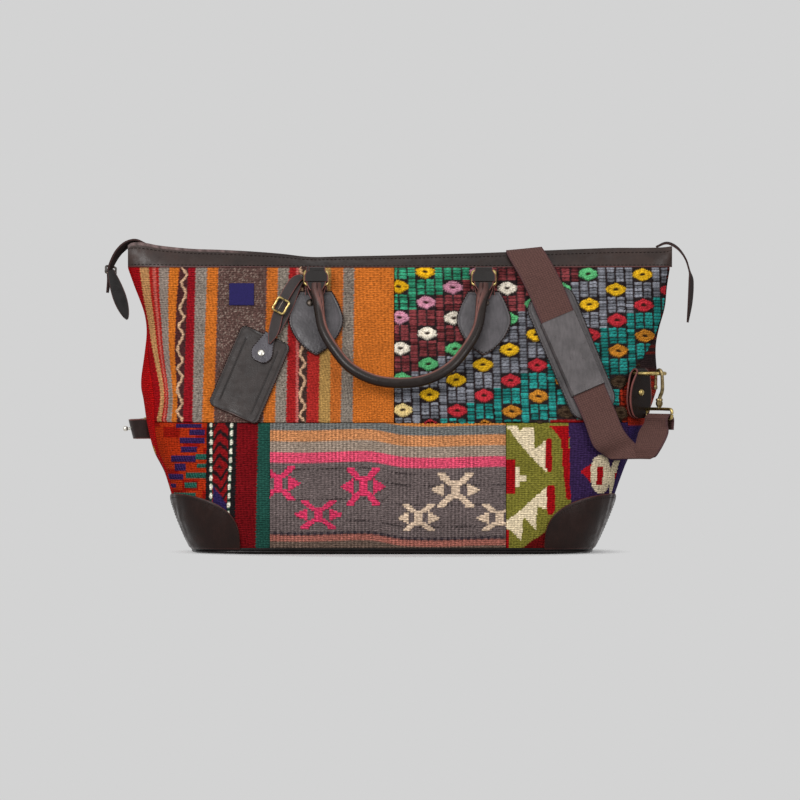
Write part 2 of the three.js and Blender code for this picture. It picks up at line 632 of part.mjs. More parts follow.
// Luggage tag on a buckled strap round the left ring
const tagUp = new THREE.Vector2(0.393, 0.919);
const tagAcross = new THREE.Vector2(0.919, -0.393);
const tagMiddle = new THREE.Vector2(-157.8, BAR_HEIGHT - 107);
function onTag(across, up, lift) {
  const spot = tagMiddle.clone().addScaledVector(tagAcross, across).addScaledVector(tagUp, up);
  return onFront(spot.x, spot.y, lift);
}
const cornered = (share, length, radius) => {
  const into = Math.max(0, radius - (1 - Math.abs(2 * share - 1)) * length);
  return radius - Math.sqrt(Math.max(0, radius * radius - into * into));
};
function tagBody() {
  return wall((u, v, side) => {
    const half = TAG_HALF_WIDTH - cornered(v, TAG_HALF_LENGTH, 6);
    return onTag(mix(-half, half, u), mix(-TAG_HALF_LENGTH, TAG_HALF_LENGTH, v), LIFT + side * TAG_THICKNESS);
  }, 2, 9);
}
const chapeLift = LIFT + TAG_THICKNESS + JOIN_GAP;
function tagChape() {
  const halfWidth = profile([[9, 4], [12, 9.5], [20, 12], [30, 10], [40, 6]]);
  return wall((u, v, side) => {
    const up = mix(9, 40, v);
    return onTag(3 + mix(-1, 1, u) * halfWidth(up), up, chapeLift + side * STRAP_LEATHER);
  }, 2, 8);
}
const tagWrap = RING_WIRE + 0.9;
const tagLoopX = -PAD_X - 9;
const sideBarX = -PAD_X - RING_HALF_WIDTH;
const strapLift = chapeLift + STRAP_LEATHER + WRAP_GAP;
const buckleHeight = BAR_HEIGHT - 36;
function tagStrap() {
  const slant = vector(0.88, -0.2, -0.47);
  const turned = vector(0.95, -0.1, -0.2);
  const level = vector(1, 0, 0);
  const behind = tagWrap + STRAP_LEATHER - 0.4;
  const stations = [];
  stations.push([onFront(-136, buckleHeight - 26, 5), slant]);
  stations.push([onFront(-126, buckleHeight - 2, 6), slant]);
  stations.push([handlePlane(sideBarX - 7, 17, -behind - 0.6), turned]);
  stations.push([handlePlane(tagLoopX - 1, 7, -behind - 0.8), level]);
  for (const angle of steps(0, Math.PI * 1.4, 6)) {
    stations.push([handlePlane(tagLoopX, -tagWrap * Math.sin(angle), -tagWrap * Math.cos(angle)), level]);
  }
  stations.push([handlePlane(tagLoopX - 1, 7, -behind), level]);
  stations.push([handlePlane(sideBarX - 7, 17, -behind), turned]);
  stations.push([onFront(-125, buckleHeight, strapLift), slant]);
  stations.push([onFront(-137, buckleHeight - 41, strapLift + 0.4), slant]);
  const narrow = (u) => mix(1.6, 5.2, Math.min(1, Math.max(0, Math.abs(u - 0.5) - 0.25) * 7));
  const ways = between(stations.map(([, way]) => way));
  return strap(stations.map(([point]) => point), ways, narrow, STRAP_LEATHER, 24);
}
const buckleUp = vector(0.49, 0.2, 0.85).normalize();
const buckleAcross = vector(0.88, -0.2, -0.47).normalize();
const buckleMiddle = onFront(-125, buckleHeight, strapLift + STRAP_LEATHER + 3.2);
const onBuckle = inFrame(buckleMiddle, buckleAcross, buckleUp);
function buckle() {
  const points = [];
  for (const [across, up] of [[1, -1], [1, 1], [-1, 1], [-1, -1]]) {
    const pair = [onBuckle(across * 6.4, up * 6), onBuckle(across * 5.2, up * 7.2)];
    points.push(...(across * up > 0 ? pair : pair.reverse()));
  }
  return hoop(points, 1.1, 16, 4);
}
const buckleOut = buckleAcross.clone().cross(buckleUp).normalize();
const overBuckle = (across, up) => onBuckle(across, up).addScaledVector(buckleOut, 2.1);
add('tag_body', tagBody(), softLeather);
add('tag_chape', tagChape(), softLeather);
add('tag_snap', dome(3.9, 1.8, onTag(2, 19, chapeLift + STRAP_LEATHER + 1), frontWay), nickel);
add('tag_strap', tagStrap(), leather);
add('tag_buckle', buckle(), brass);
add('tag_prong', rod([overBuckle(0, -7.6), overBuckle(0, 0), overBuckle(0, 7.6)], 0.8, 2, 6), brass);

// Plain blue label sewn on the brown stripe
add('blue_label', wall((u, v, side) =>
  onFront(mix(-179.5, -153.5, u), mix(259.5, 282.5, v), LIFT + side * 0.8), 2, 2), blueCloth);

// Zip tails past both ends of the mouth, with the slider and its leaf-shaped pull on the left
const leaf = (u, half) => half * Math.max(0.08, Math.sin(Math.PI * Math.min(1, 0.12 + 0.86 * u)) ** 0.7);
const tailStart = BAND_HALF_LENGTH + JOIN_GAP;
const tailHeight = tapeTop(BAND_HALF_LENGTH);
function rightTail() {
  const path = [vector(tailStart, 0, tailHeight), vector(292, 0, 319), vector(301, 0, 308)];
  path.push(vector(305.5, 0, 292), vector(305, 0, 266), vector(302, 0, 241));
  const leafHalf = (u) => Math.max(6, 10 * (1 - (2 * u - 1.2) ** 2));
  const half = (u) => (u < 0.5 ? mix(1.4, 6, Math.min(1, u * 5)) : leafHalf(u));
  const taper = (u) => Math.min(half(u), 1 + 40 * (1 - u));
  return strap(path, always(vector(0, 1, 0)), taper, TAPE_THICKNESS, 14);
}
function leftTail() {
  const path = [vector(-tailStart, 0, tailHeight), vector(-291, 0, 320), vector(-300, 0, 310)];
  path.push(vector(-304, 0, 298), vector(-305.5, 0, 286), vector(-307, 0, 272));
  const half = (u) => Math.min(mix(1.4, 7, Math.min(1, u * 4)), 1.5 + 16 * (1 - u));
  const ways = [vector(0, -1, 0), vector(0.4, -1, 0), vector(0.5, -1, 0), vector(0, -1, 0)];
  return strap(path, between(ways), half, TAPE_THICKNESS, 12);
}
add('right_zip_tail', rightTail(), zipCloth);
add('left_zip_tail', leftTail(), zipCloth);
const sliderMiddle = vector(-304.6, 0, 296);
const sliderOut = vector(0.98, 0, -0.18);
function slider() {
  const at = inFrame(sliderMiddle, vector(0, 1, 0), sliderOut);
  const points = [at(-10, 0), at(-9, 4.6), at(0, 5.2), at(9, 4.6)];
  points.push(at(10, 0), at(9, -4.6), at(0, -5.2), at(-9, -4.6));
  return hoop(points, 1.2, 14, 4);
}
add('zip_slider', slider(), brass);
function zipPull() {
  const path = [vector(-304.5, -11.6, 296), vector(-298.5, -12.4, 278), vector(-288, -13, 247)];
  return strap(path, always(vector(0.94, 0, 0.34)), (u) => leaf(u, 7), STRAP_LEATHER, 10, 2);
}
add('zip_pull', zipPull(), leather);

export default bag;
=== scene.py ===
"""Kilim weekender bag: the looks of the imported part. Sizes are in mm here and in metres in Blender."""
import math

import bpy
import numpy as np
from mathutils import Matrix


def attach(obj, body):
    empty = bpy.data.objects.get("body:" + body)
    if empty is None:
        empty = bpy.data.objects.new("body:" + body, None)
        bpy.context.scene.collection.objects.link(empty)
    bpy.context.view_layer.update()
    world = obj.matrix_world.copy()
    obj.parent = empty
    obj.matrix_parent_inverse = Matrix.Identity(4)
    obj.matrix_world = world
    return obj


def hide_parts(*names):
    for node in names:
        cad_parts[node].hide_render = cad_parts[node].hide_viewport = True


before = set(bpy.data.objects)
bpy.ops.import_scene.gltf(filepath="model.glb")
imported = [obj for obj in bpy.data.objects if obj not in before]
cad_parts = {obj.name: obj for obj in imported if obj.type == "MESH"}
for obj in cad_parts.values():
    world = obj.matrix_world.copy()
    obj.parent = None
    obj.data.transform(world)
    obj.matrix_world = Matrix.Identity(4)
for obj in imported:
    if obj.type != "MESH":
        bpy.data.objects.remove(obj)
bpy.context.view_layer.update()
MM = 0.001
CURVE_STEPS = 24
SHARP_ANGLE = 40
random = np.random.default_rng(7)


# Numbers and curves

def hex_colour(code):
    """sRGB hex code to linear red, green and blue."""
    share = np.array([int(code[i:i + 2], 16) for i in (1, 3, 5)]) / 255
    return np.where(share <= 0.04045, share / 12.92, ((share + 0.055) / 1.055) ** 2.4)


def mix(a, b, share):
    """Straight blend from a to b."""
    return a + (b - a) * share


def ramp(low, high, value):
    """0 below low, 1 above high, smooth between."""
    share = np.clip((value - low) / (high - low), 0, 1)
    return share * share * (3 - 2 * share)


def unit(vectors):
    """Vectors scaled to length one."""
    return vectors / np.maximum(np.linalg.norm(vectors, axis=-1, keepdims=True), 1e-9)


def lengths(path):
    """Distance along a path to each of its points."""
    return np.concatenate([[0], np.cumsum(np.linalg.norm(np.diff(path, axis=0), axis=1))])


def together(*parts):
    """Coordinates spread to one shape and joined into points."""
    return np.stack(np.broadcast_arrays(*parts), axis=-1)


def eased(count, start=0, end=1):
    """Values from 0 to 1 that crowd at both ends: half a cosine wave."""
    return (1 - np.cos(math.pi * np.linspace(start, end, count))) / 2


def both_ways(count):
    """Values from -1 to 1 that crowd at both ends: a quarter sine wave each way."""
    return np.sin(math.pi / 2 * np.linspace(-1, 1, count))


def cubic(b, c, start, end):
    """Points of cubic pieces: each leaves b along start and comes to c along end."""
    t = np.linspace(0, 1, CURVE_STEPS)[:, None, None]
    curve = (2 * b - 2 * c + start + end) * t ** 3
    curve = curve + (3 * c - 3 * b - 2 * start - end) * t ** 2 + start * t + b
    return curve.transpose(1, 0, 2).reshape(-1, b.shape[1])


def profile(pairs):
    """Smooth curve through (place, value) pairs, as a function of the place: uniform Catmull-Rom pieces."""
    knots = np.array(pairs, float)
    run = np.vstack([knots[:1], knots, knots[-1:]])
    a, b, c, d = run[:-3], run[1:-2], run[2:-1], run[3:]
    curve = cubic(b, c, (c - a) / 2, (d - b) / 2)
    return lambda place: np.interp(place, curve[:, 0], curve[:, 1])


def smooth_path(points, count, closed=False):
    """Even steps along a centripetal Catmull-Rom curve through the points."""
    knots = np.array(points, float)
    if closed:
        run = np.vstack([knots[-1:], knots, knots[:2]])
    else:
        run = np.vstack([2 * knots[:1] - knots[1:2], knots, 2 * knots[-1:] - knots[-2:-1]])
    step = np.sqrt(np.maximum(np.linalg.norm(np.diff(run, axis=0), axis=1), 1e-6))[:, None]
    a, b, c, d = run[:-3], run[1:-2], run[2:-1], run[3:]
    before, here, after = step[:-2], step[1:-1], step[2:]
    start = ((b - a) / before - (c - a) / (before + here) + (c - b) / here) * here
    end = ((c - b) / here - (d - b) / (here + after) + (d - c) / after) * here
    curve = cubic(b, c, start, end)
    length = lengths(curve)
    even = np.linspace(0, length[-1], count, endpoint=not closed)
    return np.stack([np.interp(even, length, column) for column in curve.T], axis=1)


# Meshes from grids of points

class Grid:
    """Points (rows, columns, 3) in mm, with a tint per point and a place on the cloth in mm."""

    def __init__(self, points, tint=(1, 1, 1), cloth=None, ring=False, hoop=False, caps=False, flip=False):
        self.points = np.asarray(points, float)
        shape = self.points.shape[:2]
        self.tint = np.broadcast_to(np.asarray(tint, float), shape + (3,))
        self.cloth = np.zeros(shape + (2,)) if cloth is None else np.broadcast_to(cloth, shape + (2,))
        self.ring, self.hoop, self.caps, self.flip = ring, hoop, caps, flip


def make(name, grids, material, body="bag", slot="dark_leather", replaces=()):
    """One piece from several grids: each cell is a quad, a ring closes the columns and a hoop the rows."""
    corners, loose, start = [], [], 0
    for grid in grids:
        rows, columns = grid.points.shape[:2]
        index = np.arange(rows * columns).reshape(rows, columns) + start
        if grid.caps:
            ends = [index[0][::-1], index[-1]]
            loose += [end[::-1] if grid.flip else end for end in ends]
        if grid.ring:
            index = np.hstack([index, index[:, :1]])
        if grid.hoop:
            index = np.vstack([index, index[:1]])
        quads = np.stack([index[:-1, :-1], index[:-1, 1:], index[1:, 1:], index[1:, :-1]], axis=-1)
        quads = quads.reshape(-1, 4)
        corners.append(quads[:, ::-1] if grid.flip else quads)
        start += rows * columns
    quads = np.concatenate(corners)
    loops = np.concatenate([quads.ravel()] + [np.asarray(cap) for cap in loose])
    counts = np.concatenate([np.full(len(quads), 4), [len(cap) for cap in loose]]).astype(np.int64)
    points = np.concatenate([grid.points.reshape(-1, 3) for grid in grids]) * MM
    tint = np.concatenate([grid.tint.reshape(-1, 3) for grid in grids])
    cloth = np.concatenate([grid.cloth.reshape(-1, 2) for grid in grids]) * MM
    mesh = bpy.data.meshes.new(name)
    mesh.vertices.add(len(points))
    mesh.vertices.foreach_set("co", points.ravel())
    mesh.loops.add(len(loops))
    mesh.loops.foreach_set("vertex_index", loops.astype(np.int32))
    mesh.polygons.add(len(counts))
    mesh.polygons.foreach_set("loop_start", np.concatenate([[0], np.cumsum(counts)[:-1]]).astype(np.int32))
    mesh.polygons.foreach_set("loop_total", counts.astype(np.int32))
    mesh.polygons.foreach_set("use_smooth", np.ones(len(counts), bool))
    mesh.update(calc_edges=True)
    mesh.validate()
    colour = mesh.color_attributes.new("tint", "FLOAT_COLOR", "POINT")
    colour.data.foreach_set("color", np.hstack([tint, np.ones((len(tint), 1))]).ravel())
    layer = mesh.uv_layers.new(name="cloth")
    layer.data.foreach_set("uv", cloth[loops].ravel())
    mesh.set_sharp_from_angle(angle=math.radians(SHARP_ANGLE))
    mesh.materials.append(material)
    piece = bpy.data.objects.new(name, mesh)
    bpy.context.scene.collection.objects.link(piece)
    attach(piece, body)
    if replaces:
        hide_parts(*replaces)
    return piece


def heading(path, closed=False):
    """Direction of travel at each point of a path."""
    if closed:
        return unit(np.roll(path, -1, axis=0) - np.roll(path, 1, axis=0))
    return unit(np.gradient(path, axis=0))


def sweep(path, across, section, closed=False, square=True, **more):
    """A section (points across, points out) carried along a path: path + across * a + out * b at each step.
    Square turns the way across until it is square to the path."""
    across = unit(np.broadcast_to(across, path.shape))
    travel = heading(path, closed)
    if square:
        across = unit(across - travel * np.sum(across * travel, axis=1, keepdims=True))
    out = unit(np.cross(travel, across))
    section = np.broadcast_to(section, (len(path),) + np.shape(section)[-2:])
    points = path[:, None] + across[:, None] * section[..., :1] + out[:, None] * section[..., 1:]
    return Grid(points, ring=True, hoop=closed, caps=not closed, **more)


def circle(radius, count):
    """Round section."""
    turn = np.linspace(0, math.tau, count, endpoint=False)
    return radius * np.stack([np.cos(turn), np.sin(turn)], axis=1)


def steady(path):
    """The axis along which a path spreads least: a way across it that never twists much."""
    thin = np.argmin(np.ptp(path, axis=0))
    return np.eye(3)[thin]


def wire(points, radius, count, sides=12, closed=False, radii=None):
    """Round wire along a smooth curve through the points."""
    path = smooth_path(points, count, closed)
    size = circle(1, sides)[None] * (np.full(len(path), radius) if radii is None else radii)[:, None, None]
    return sweep(path, steady(path), size, closed)


def turned(outline, foot, way, count=24):
    """Outline of (radius, height) points spun round an axis from the foot."""
    way = unit(np.array(way, float))
    side = unit(np.cross(way, [0.3, 0.5, 0.8]))
    other = np.cross(way, side)
    spin = np.linspace(0, math.tau, count, endpoint=False)
    spokes = np.cos(spin)[:, None] * side + np.sin(spin)[:, None] * other
    outline = np.array(outline, float)
    points = np.array(foot, float) + outline[:, :1, None] * spokes[None] + outline[:, 1:, None] * way
    return Grid(points, ring=True, caps=True)


# Materials

def material(name):
    """New material, with its node tree and its shader."""
    made = bpy.data.materials.new(name)
    made.use_nodes = True
    shader = made.node_tree.nodes["Principled BSDF"]
    return made, made.node_tree, shader


def fill(tree, made, inputs):
    """Fills a node's inputs by name or number: an output of another node is linked, the rest are values."""
    for key, value in inputs.items():
        if isinstance(value, bpy.types.NodeSocket):
            tree.links.new(value, made.inputs[key])
        else:
            made.inputs[key].default_value = value


def node(tree, kind, inputs, output=0, **own):
    """Adds a node with its inputs and its own settings, and gives one of its outputs."""
    made = tree.nodes.new(kind)
    for key, value in own.items():
        setattr(made, key, value)
    fill(tree, made, inputs)
    return made.outputs[output]


def tint_of(tree):
    """The colour that each piece carries in its points."""
    return node(tree, "ShaderNodeVertexColor", {}, layer_name="tint")


def mottled(tree, colour, place, size_mm, low, high, detail=3):
    """Colour made lighter and darker in patches of the given size."""
    noise = node(tree, "ShaderNodeTexNoise", {"Vector": place, "Scale": 1 / (size_mm * MM), "Detail": detail})
    shade = node(tree, "ShaderNodeMapRange", {0: noise, 1: 0.3, 2: 0.7, 3: low, 4: high})
    return node(tree, "ShaderNodeVectorMath", {0: colour, 1: shade}, operation="MULTIPLY")


def kilim(name, weft_mm, warp_mm, depth_mm, rows_low=0.7, rows_high=1.3):
    """Handwoven wool, weft faced: rows of fat weft yarn that pass over and under the warps, matt, heathered.
    The rows are drawn a little coarser than real ones so that they show, in bumps and in painted shade
    between rows and painted highlight along them."""
    made, tree, shader = material(name)
    heather, patch_mm, wander_mm, wander, warp_share, fray = 0.25, 26, 11, 9.0, 0.5, 5.0
    fibre_scale = (1 / (weft_mm * 1.6 * MM), 1 / (weft_mm * 0.7 * MM), 1)
    cloth = node(tree, "ShaderNodeUVMap", {}, uv_map="cloth")
    spread = node(tree, "ShaderNodeMapping", {"Vector": cloth, "Scale": fibre_scale}, vector_type="POINT")
    fibre = node(tree, "ShaderNodeTexNoise", {"Vector": spread, "Scale": 1.0, "Detail": 2.0})
    shade = node(tree, "ShaderNodeMapRange", {0: fibre, 1: 0.3, 2: 0.7, 3: 1 - heather, 4: 1 + heather})
    dyed = node(tree, "ShaderNodeVectorMath", {0: tint_of(tree), 1: shade}, operation="MULTIPLY")
    place = node(tree, "ShaderNodeTexCoord", {}, "Object")
    patchy = mottled(tree, dyed, place, patch_mm, 0.86, 1.1)
    drift = node(tree, "ShaderNodeTexNoise", {"Vector": place, "Scale": 1 / (wander_mm * MM), "Detail": 2.0})
    across, up = node(tree, "ShaderNodeSeparateXYZ", {0: cloth}).node.outputs[:2]
    rows = node(tree, "ShaderNodeMath", {0: up, 1: math.tau / (weft_mm * MM)}, operation="MULTIPLY")
    loose = node(tree, "ShaderNodeMath", {0: drift, 1: wander, 2: rows}, operation="MULTIPLY_ADD")
    warps = node(tree, "ShaderNodeMath", {0: across, 1: math.pi / (warp_mm * MM)}, operation="MULTIPLY")
    row_wave = node(tree, "ShaderNodeMath", {0: loose}, operation="SINE")
    warp_wave = node(tree, "ShaderNodeMath", {0: warps}, operation="SINE")
    woven = node(tree, "ShaderNodeMath", {0: warp_wave, 1: warp_share, 2: row_wave}, operation="MULTIPLY_ADD")
    broken = node(tree, "ShaderNodeMath", {0: fibre, 1: fray, 2: woven}, operation="MULTIPLY_ADD")
    # Painted shade and highlight: the colour is darker between the rows and lighter along them, in step with
    # the bumps; the fibre noise breaks the lines up.
    lines = node(tree, "ShaderNodeMapRange", {0: broken, 1: 1.2, 2: 3.6, 3: rows_low, 4: rows_high})
    colour = node(tree, "ShaderNodeVectorMath", {0: patchy, 1: lines}, operation="MULTIPLY")
    height = node(tree, "ShaderNodeMath", {0: woven, 1: 0.6, 2: fibre}, operation="MULTIPLY_ADD")
    bump = node(tree, "ShaderNodeBump", {"Height": height, "Strength": 0.8, "Distance": depth_mm * MM})
    fill(tree, shader, {"Base Color": colour, "Normal": bump, "Roughness": 0.92, "Specular IOR Level": 0.04})
    return made


def leather(name, roughness, grain_mm, depth_mm, low, high, shine, veins):
    """Waxed cowhide: fine pebble grain, shiny where rubbed and dull between, with pale brushed veins."""
    made, tree, shader = material(name)
    patch_mm, crease_mm, vein_mm, vein_slant = 17, 8, (2.2, 6, 11), 0.42
    vein_scale = [1 / (size * MM) for size in vein_mm]
    place = node(tree, "ShaderNodeTexCoord", {}, "Object")
    patchy = mottled(tree, tint_of(tree), place, patch_mm, low, high, 5)
    stretch = {"Vector": place, "Scale": vein_scale, "Rotation": (0, vein_slant, 0)}
    combed = node(tree, "ShaderNodeMapping", stretch, vector_type="POINT")
    brushed = node(tree, "ShaderNodeTexNoise", {"Vector": combed, "Scale": 1.0, "Detail": 4.0})
    vein = node(tree, "ShaderNodeMapRange", {0: brushed, 1: 0.35, 2: 0.75, 3: 1 - veins, 4: 1 + 2 * veins})
    colour = node(tree, "ShaderNodeVectorMath", {0: patchy, 1: vein}, operation="MULTIPLY")
    grain = node(tree, "ShaderNodeTexVoronoi", {"Vector": place, "Scale": 1 / (grain_mm * MM)},
                 feature="SMOOTH_F1")
    crease = node(tree, "ShaderNodeTexNoise", {"Vector": place, "Scale": 1 / (crease_mm * MM), "Detail": 5.0})
    height = node(tree, "ShaderNodeMath", {0: grain, 1: crease}, operation="ADD")
    bump = node(tree, "ShaderNodeBump", {"Height": height, "Strength": 0.6, "Distance": depth_mm * MM})
    gloss = node(tree, "ShaderNodeMapRange",
                 {0: crease, 1: 0.34, 2: 0.66, 3: roughness - 0.1, 4: roughness + 0.16})
    fill(tree, shader,
         {"Base Color": colour, "Normal": bump, "Roughness": gloss, "Specular IOR Level": shine})
    return made


def metal(name, light, dark, roughness):
    """Plated metal, worn: brighter where rubbed, darker in patches."""
    made, tree, shader = material(name)
    patch_mm = 4
    place = node(tree, "ShaderNodeTexCoord", {}, "Object")
    noise = node(tree, "ShaderNodeTexNoise", {"Vector": place, "Scale": 1 / (patch_mm * MM), "Detail": 4.0})
    shade = node(tree, "ShaderNodeValToRGB", {0: noise})
    for stop, position, code in zip(shade.node.color_ramp.elements, (0.28, 0.54), (dark, light)):
        stop.position = position
        stop.color = (*hex_colour(code), 1)
    gloss = node(tree, "ShaderNodeMapRange",
                 {0: noise, 1: 0.3, 2: 0.7, 3: roughness + 0.12, 4: roughness - 0.06})
    fill(tree, shader, {"Base Color": shade, "Roughness": gloss, "Metallic": 1})
    return made


def yarn(name, roughness, thread_mm, depth_mm, rib_mm=None):
    """Twisted cotton or nylon: fine strands; with ribs, rows across and along the cloth as in tape."""
    made, tree, shader = material(name)
    place = node(tree, "ShaderNodeTexCoord", {}, "Object")
    height = node(tree, "ShaderNodeTexNoise", {"Vector": place, "Scale": 1 / (thread_mm * MM), "Detail": 2.0})
    colour = mottled(tree, tint_of(tree), place, thread_mm * 2, 0.8, 1.2)
    if rib_mm:
        cloth = node(tree, "ShaderNodeUVMap", {}, uv_map="cloth")
        waves = []
        for way, pitch in zip(node(tree, "ShaderNodeSeparateXYZ", {0: cloth}).node.outputs, rib_mm):
            turn = node(tree, "ShaderNodeMath", {0: way, 1: math.tau / (pitch * MM)}, operation="MULTIPLY")
            waves.append(node(tree, "ShaderNodeMath", {0: turn}, operation="SINE"))
        woven = node(tree, "ShaderNodeMath", {0: waves[0], 1: waves[1]}, operation="ADD")
        height = node(tree, "ShaderNodeMath", {0: woven, 1: 0.35, 2: height}, operation="MULTIPLY_ADD")
        # Painted shade and highlight: with ribs, the colour is darker between them and lighter along them, in
        # step with the bumps.
        lines = node(tree, "ShaderNodeMapRange", {0: woven, 1: -1.6, 2: 1.6, 3: 0.76, 4: 1.2})
        colour = node(tree, "ShaderNodeVectorMath", {0: colour, 1: lines}, operation="MULTIPLY")
    bump = node(tree, "ShaderNodeBump", {"Height": height, "Strength": 0.6, "Distance": depth_mm * MM})
    fill(tree, shader,
         {"Base Color": colour, "Normal": bump, "Roughness": roughness, "Specular IOR Level": 0.2})
    return made


# Flat weave: dull rows of dyed wool that scatter light evenly, so only the rows and the heather show
flat_kilim = kilim("handwoven wool kilim", weft_mm=2.0, warp_mm=1.7, depth_mm=0.5)
# Loose bundles of wool over a ground weave: the mesh raises them and the fine rows read as strands
float_kilim = kilim("wool with raised float stitches", weft_mm=1.2, warp_mm=3.0, depth_mm=0.3,
                    rows_low=0.66, rows_high=1.36)
# Thick warps under the weft: upright ribs that catch the side light
ribbed_kilim = kilim("ribbed wool kilim", weft_mm=2.1, warp_mm=1.95, depth_mm=0.5)
# Wax over brown dye: a soft sheen with dull creases
band_leather = leather("waxed cowhide, dark brown", roughness=0.4, grain_mm=1.3, depth_mm=0.14,
                       low=0.72, high=1.3, shine=0.32, veins=0.06)
# Rubbed smooth by hands: small bright lines of light on near black
handle_leather = leather("rolled leather, almost black", roughness=0.3, grain_mm=1.3, depth_mm=0.08,
                         low=0.8, high=1.25, shine=0.3, veins=0.04)
# Heavy pull-up hide: coarse grain, pale brushed veins and broad grey lights
pad_leather = leather("waxed cowhide, grey black", roughness=0.37, grain_mm=2.2, depth_mm=0.3,
                      low=0.72, high=1.34, shine=0.46, veins=0.12)
# Oil soaked: deep brown with few lights
patch_leather = leather("oiled cowhide, chocolate", roughness=0.32, grain_mm=1.6, depth_mm=0.12,
                        low=0.75, high=1.3, shine=0.2, veins=0.08)
# Yellow metal gone brown in patches: soft mirror lights
brass = metal("antique brass", "#b39e67", "#6d592c", roughness=0.27)
# Browner and older than the brass: darker lights
bronze = metal("aged bronze", "#8a7a58", "#4a3c25", roughness=0.28)
# Blackened plating: dark with a dull glint
dark_metal = metal("blackened zip metal", "#5b524a", "#231e1b", roughness=0.34)
# Bright plating: clear white lights
nickel = metal("polished nickel", "#e6e2d8", "#b9b4a8", roughness=0.22)
# Heavy cotton tape: matt, with a grid of ribs
webbing = yarn("cotton webbing", roughness=0.85, thread_mm=0.8, depth_mm=0.4, rib_mm=(2.7, 2.3))
# Waxed twist: a faint sheen on each stitch
thread = yarn("waxed thread", roughness=0.7, thread_mm=0.5, depth_mm=0.1)
# Fine close weave: small even ribs, nearly matt
label_cloth = yarn("woven label", roughness=0.8, thread_mm=0.6, depth_mm=0.12, rib_mm=(1.1, 0.9))
# Thin plain weave: flat and matt
tape_cloth = yarn("zip tape", roughness=0.85, thread_mm=0.7, depth_mm=0.15)


# The shape of the bag: a rounded box whose length, depth and squareness change with height

half_length = profile([[0, 205], [8, 212], [40, 226], [76, 238], [90, 243.5], [104, 250.6], [119, 257],
                       [140, 263], [160, 268.5], [180, 272], [228, 270], [265, 278], [302, 287.5]])
half_depth = profile([[0, 116], [40, 121], [90, 114], [137, 101], [200, 74], [250, 52], [302, 30]])
lean = profile([[0, -8.2], [40, -7.8], [80, -6.8], [92, -7.2], [104, -7.4], [119, -5.6], [140, -4.1],
                [160, -1.6], [195, -0.3], [215, 0.9], [240, 3.6], [257, 4], [280, 0.8], [302, -1.5]])
squareness = profile([[0, 5.5], [60, 5], [137, 3.8], [200, 2.9], [302, 2.3]])
left_end = profile([[0, 75], [62, 68], [119, 60], [170, 48], [228, 14], [302, 6]])
right_end = profile([[0, 75], [62, 72], [119, 70], [170, 64], [215, 28], [240, 14], [302, 6]])
BASE_TOP, SEAM, PANEL_TOP = 4.4, 137, 299.6
ROLL, HEM = 3.0, 3.0


def bag_side(turn, z, lift):
    """Point on the side of the bag, a superellipse at each z. Turn 0 is the middle of the front, a quarter
    is the right end."""
    n = squareness(z)
    reach = (np.abs(np.sin(turn)) ** n + np.abs(np.cos(turn)) ** n) ** (-1 / n)
    x = lean(z) + (half_length(z) + lift) * reach * np.sin(turn)
    y = -(half_depth(z) + lift) * reach * np.cos(turn)
    return together(x, y, z)


def turn_at(x, z):
    """The turn at which the front of the bag reaches x."""
    share = np.clip((x - lean(z)) / half_length(z), -1, 1)
    n = squareness(z)
    return np.arctan2(share, (1 - np.abs(share) ** n) ** (1 / n))


def seam_turn(end, z):
    """The turn at which the front meets the end panel, whose half width is end."""
    share = np.clip(end / half_depth(z), 0, 1)
    n = squareness(z)
    return np.arctan2((1 - share ** n) ** (1 / n), share)


def front(x, z, lift=0.0):
    """Point on the front of the bag straight ahead of x, z, lifted towards the viewer."""
    share = np.clip(np.abs(x - lean(z)) / half_length(z), 0, 1)
    n = squareness(z)
    y = -half_depth(z) * (1 - share ** n) ** (1 / n) - lift
    return together(np.asarray(x, float), y, np.asarray(z, float))


def normals(points):
    """Outward direction of a grid of points: cross product of its two slopes."""
    return unit(np.cross(np.gradient(points, axis=1), np.gradient(points, axis=0)))


def arc_lengths(points):
    """Distance along the middle row and the middle column of a grid, as a place on the cloth."""
    row = points[len(points) // 2]
    column = points[:, points.shape[1] // 2]
    return np.stack(np.meshgrid(lengths(row), lengths(column)), axis=-1)


def bordered(values):
    """A grid of values with its outer rows and columns repeated once."""
    return np.pad(values, ((1, 1), (1, 1), (0, 0)), mode="edge")


def walled(points, out, depth):
    """Points with one more row and column all round, let in by depth to make the raw edge."""
    wide, outward = bordered(points), bordered(out)
    rim = np.ones(wide.shape[:2], bool)
    rim[1:-1, 1:-1] = False
    wide[rim] -= outward[rim] * depth
    return wide


def sewn(points, tint, tuck):
    """Grid of a sewn panel: its border sinks by tuck over the roll and turns under by the hem."""
    out = normals(points)
    cloth = arc_lengths(points)
    reach = np.minimum(cloth, cloth[-1, -1] - cloth).min(axis=-1)
    sunk = points - out * (np.clip(1 - reach / ROLL, 0, 1) ** 2 * tuck)[..., None]
    return Grid(walled(sunk, out, HEM), bordered(tint), bordered(cloth), ring=True, caps=True)


# Woven patterns: fields of colour laid over each other by simple shapes, in mm across (x) and up (z)

def strip(value, low, high, soft=0.5):
    """1 between low and high with soft edges, 0 outside."""
    return ramp(low - soft, low + soft, value) * (1 - ramp(high - soft, high + soft, value))


def lay(tint, share, code):
    """Lays a colour over a field where share is 1."""
    return mix(tint, hex_colour(code), np.asarray(share)[..., None])


def field(x, code):
    """One colour over a whole field."""
    return np.broadcast_to(hex_colour(code), x.shape + (3,))


def paint(tint, inside, code, shade=1.0):
    """A colour, lighter or darker by its shade, wherever inside is true."""
    return np.where(inside[..., None], hex_colour(code) * np.asarray(shade)[..., None], tint)


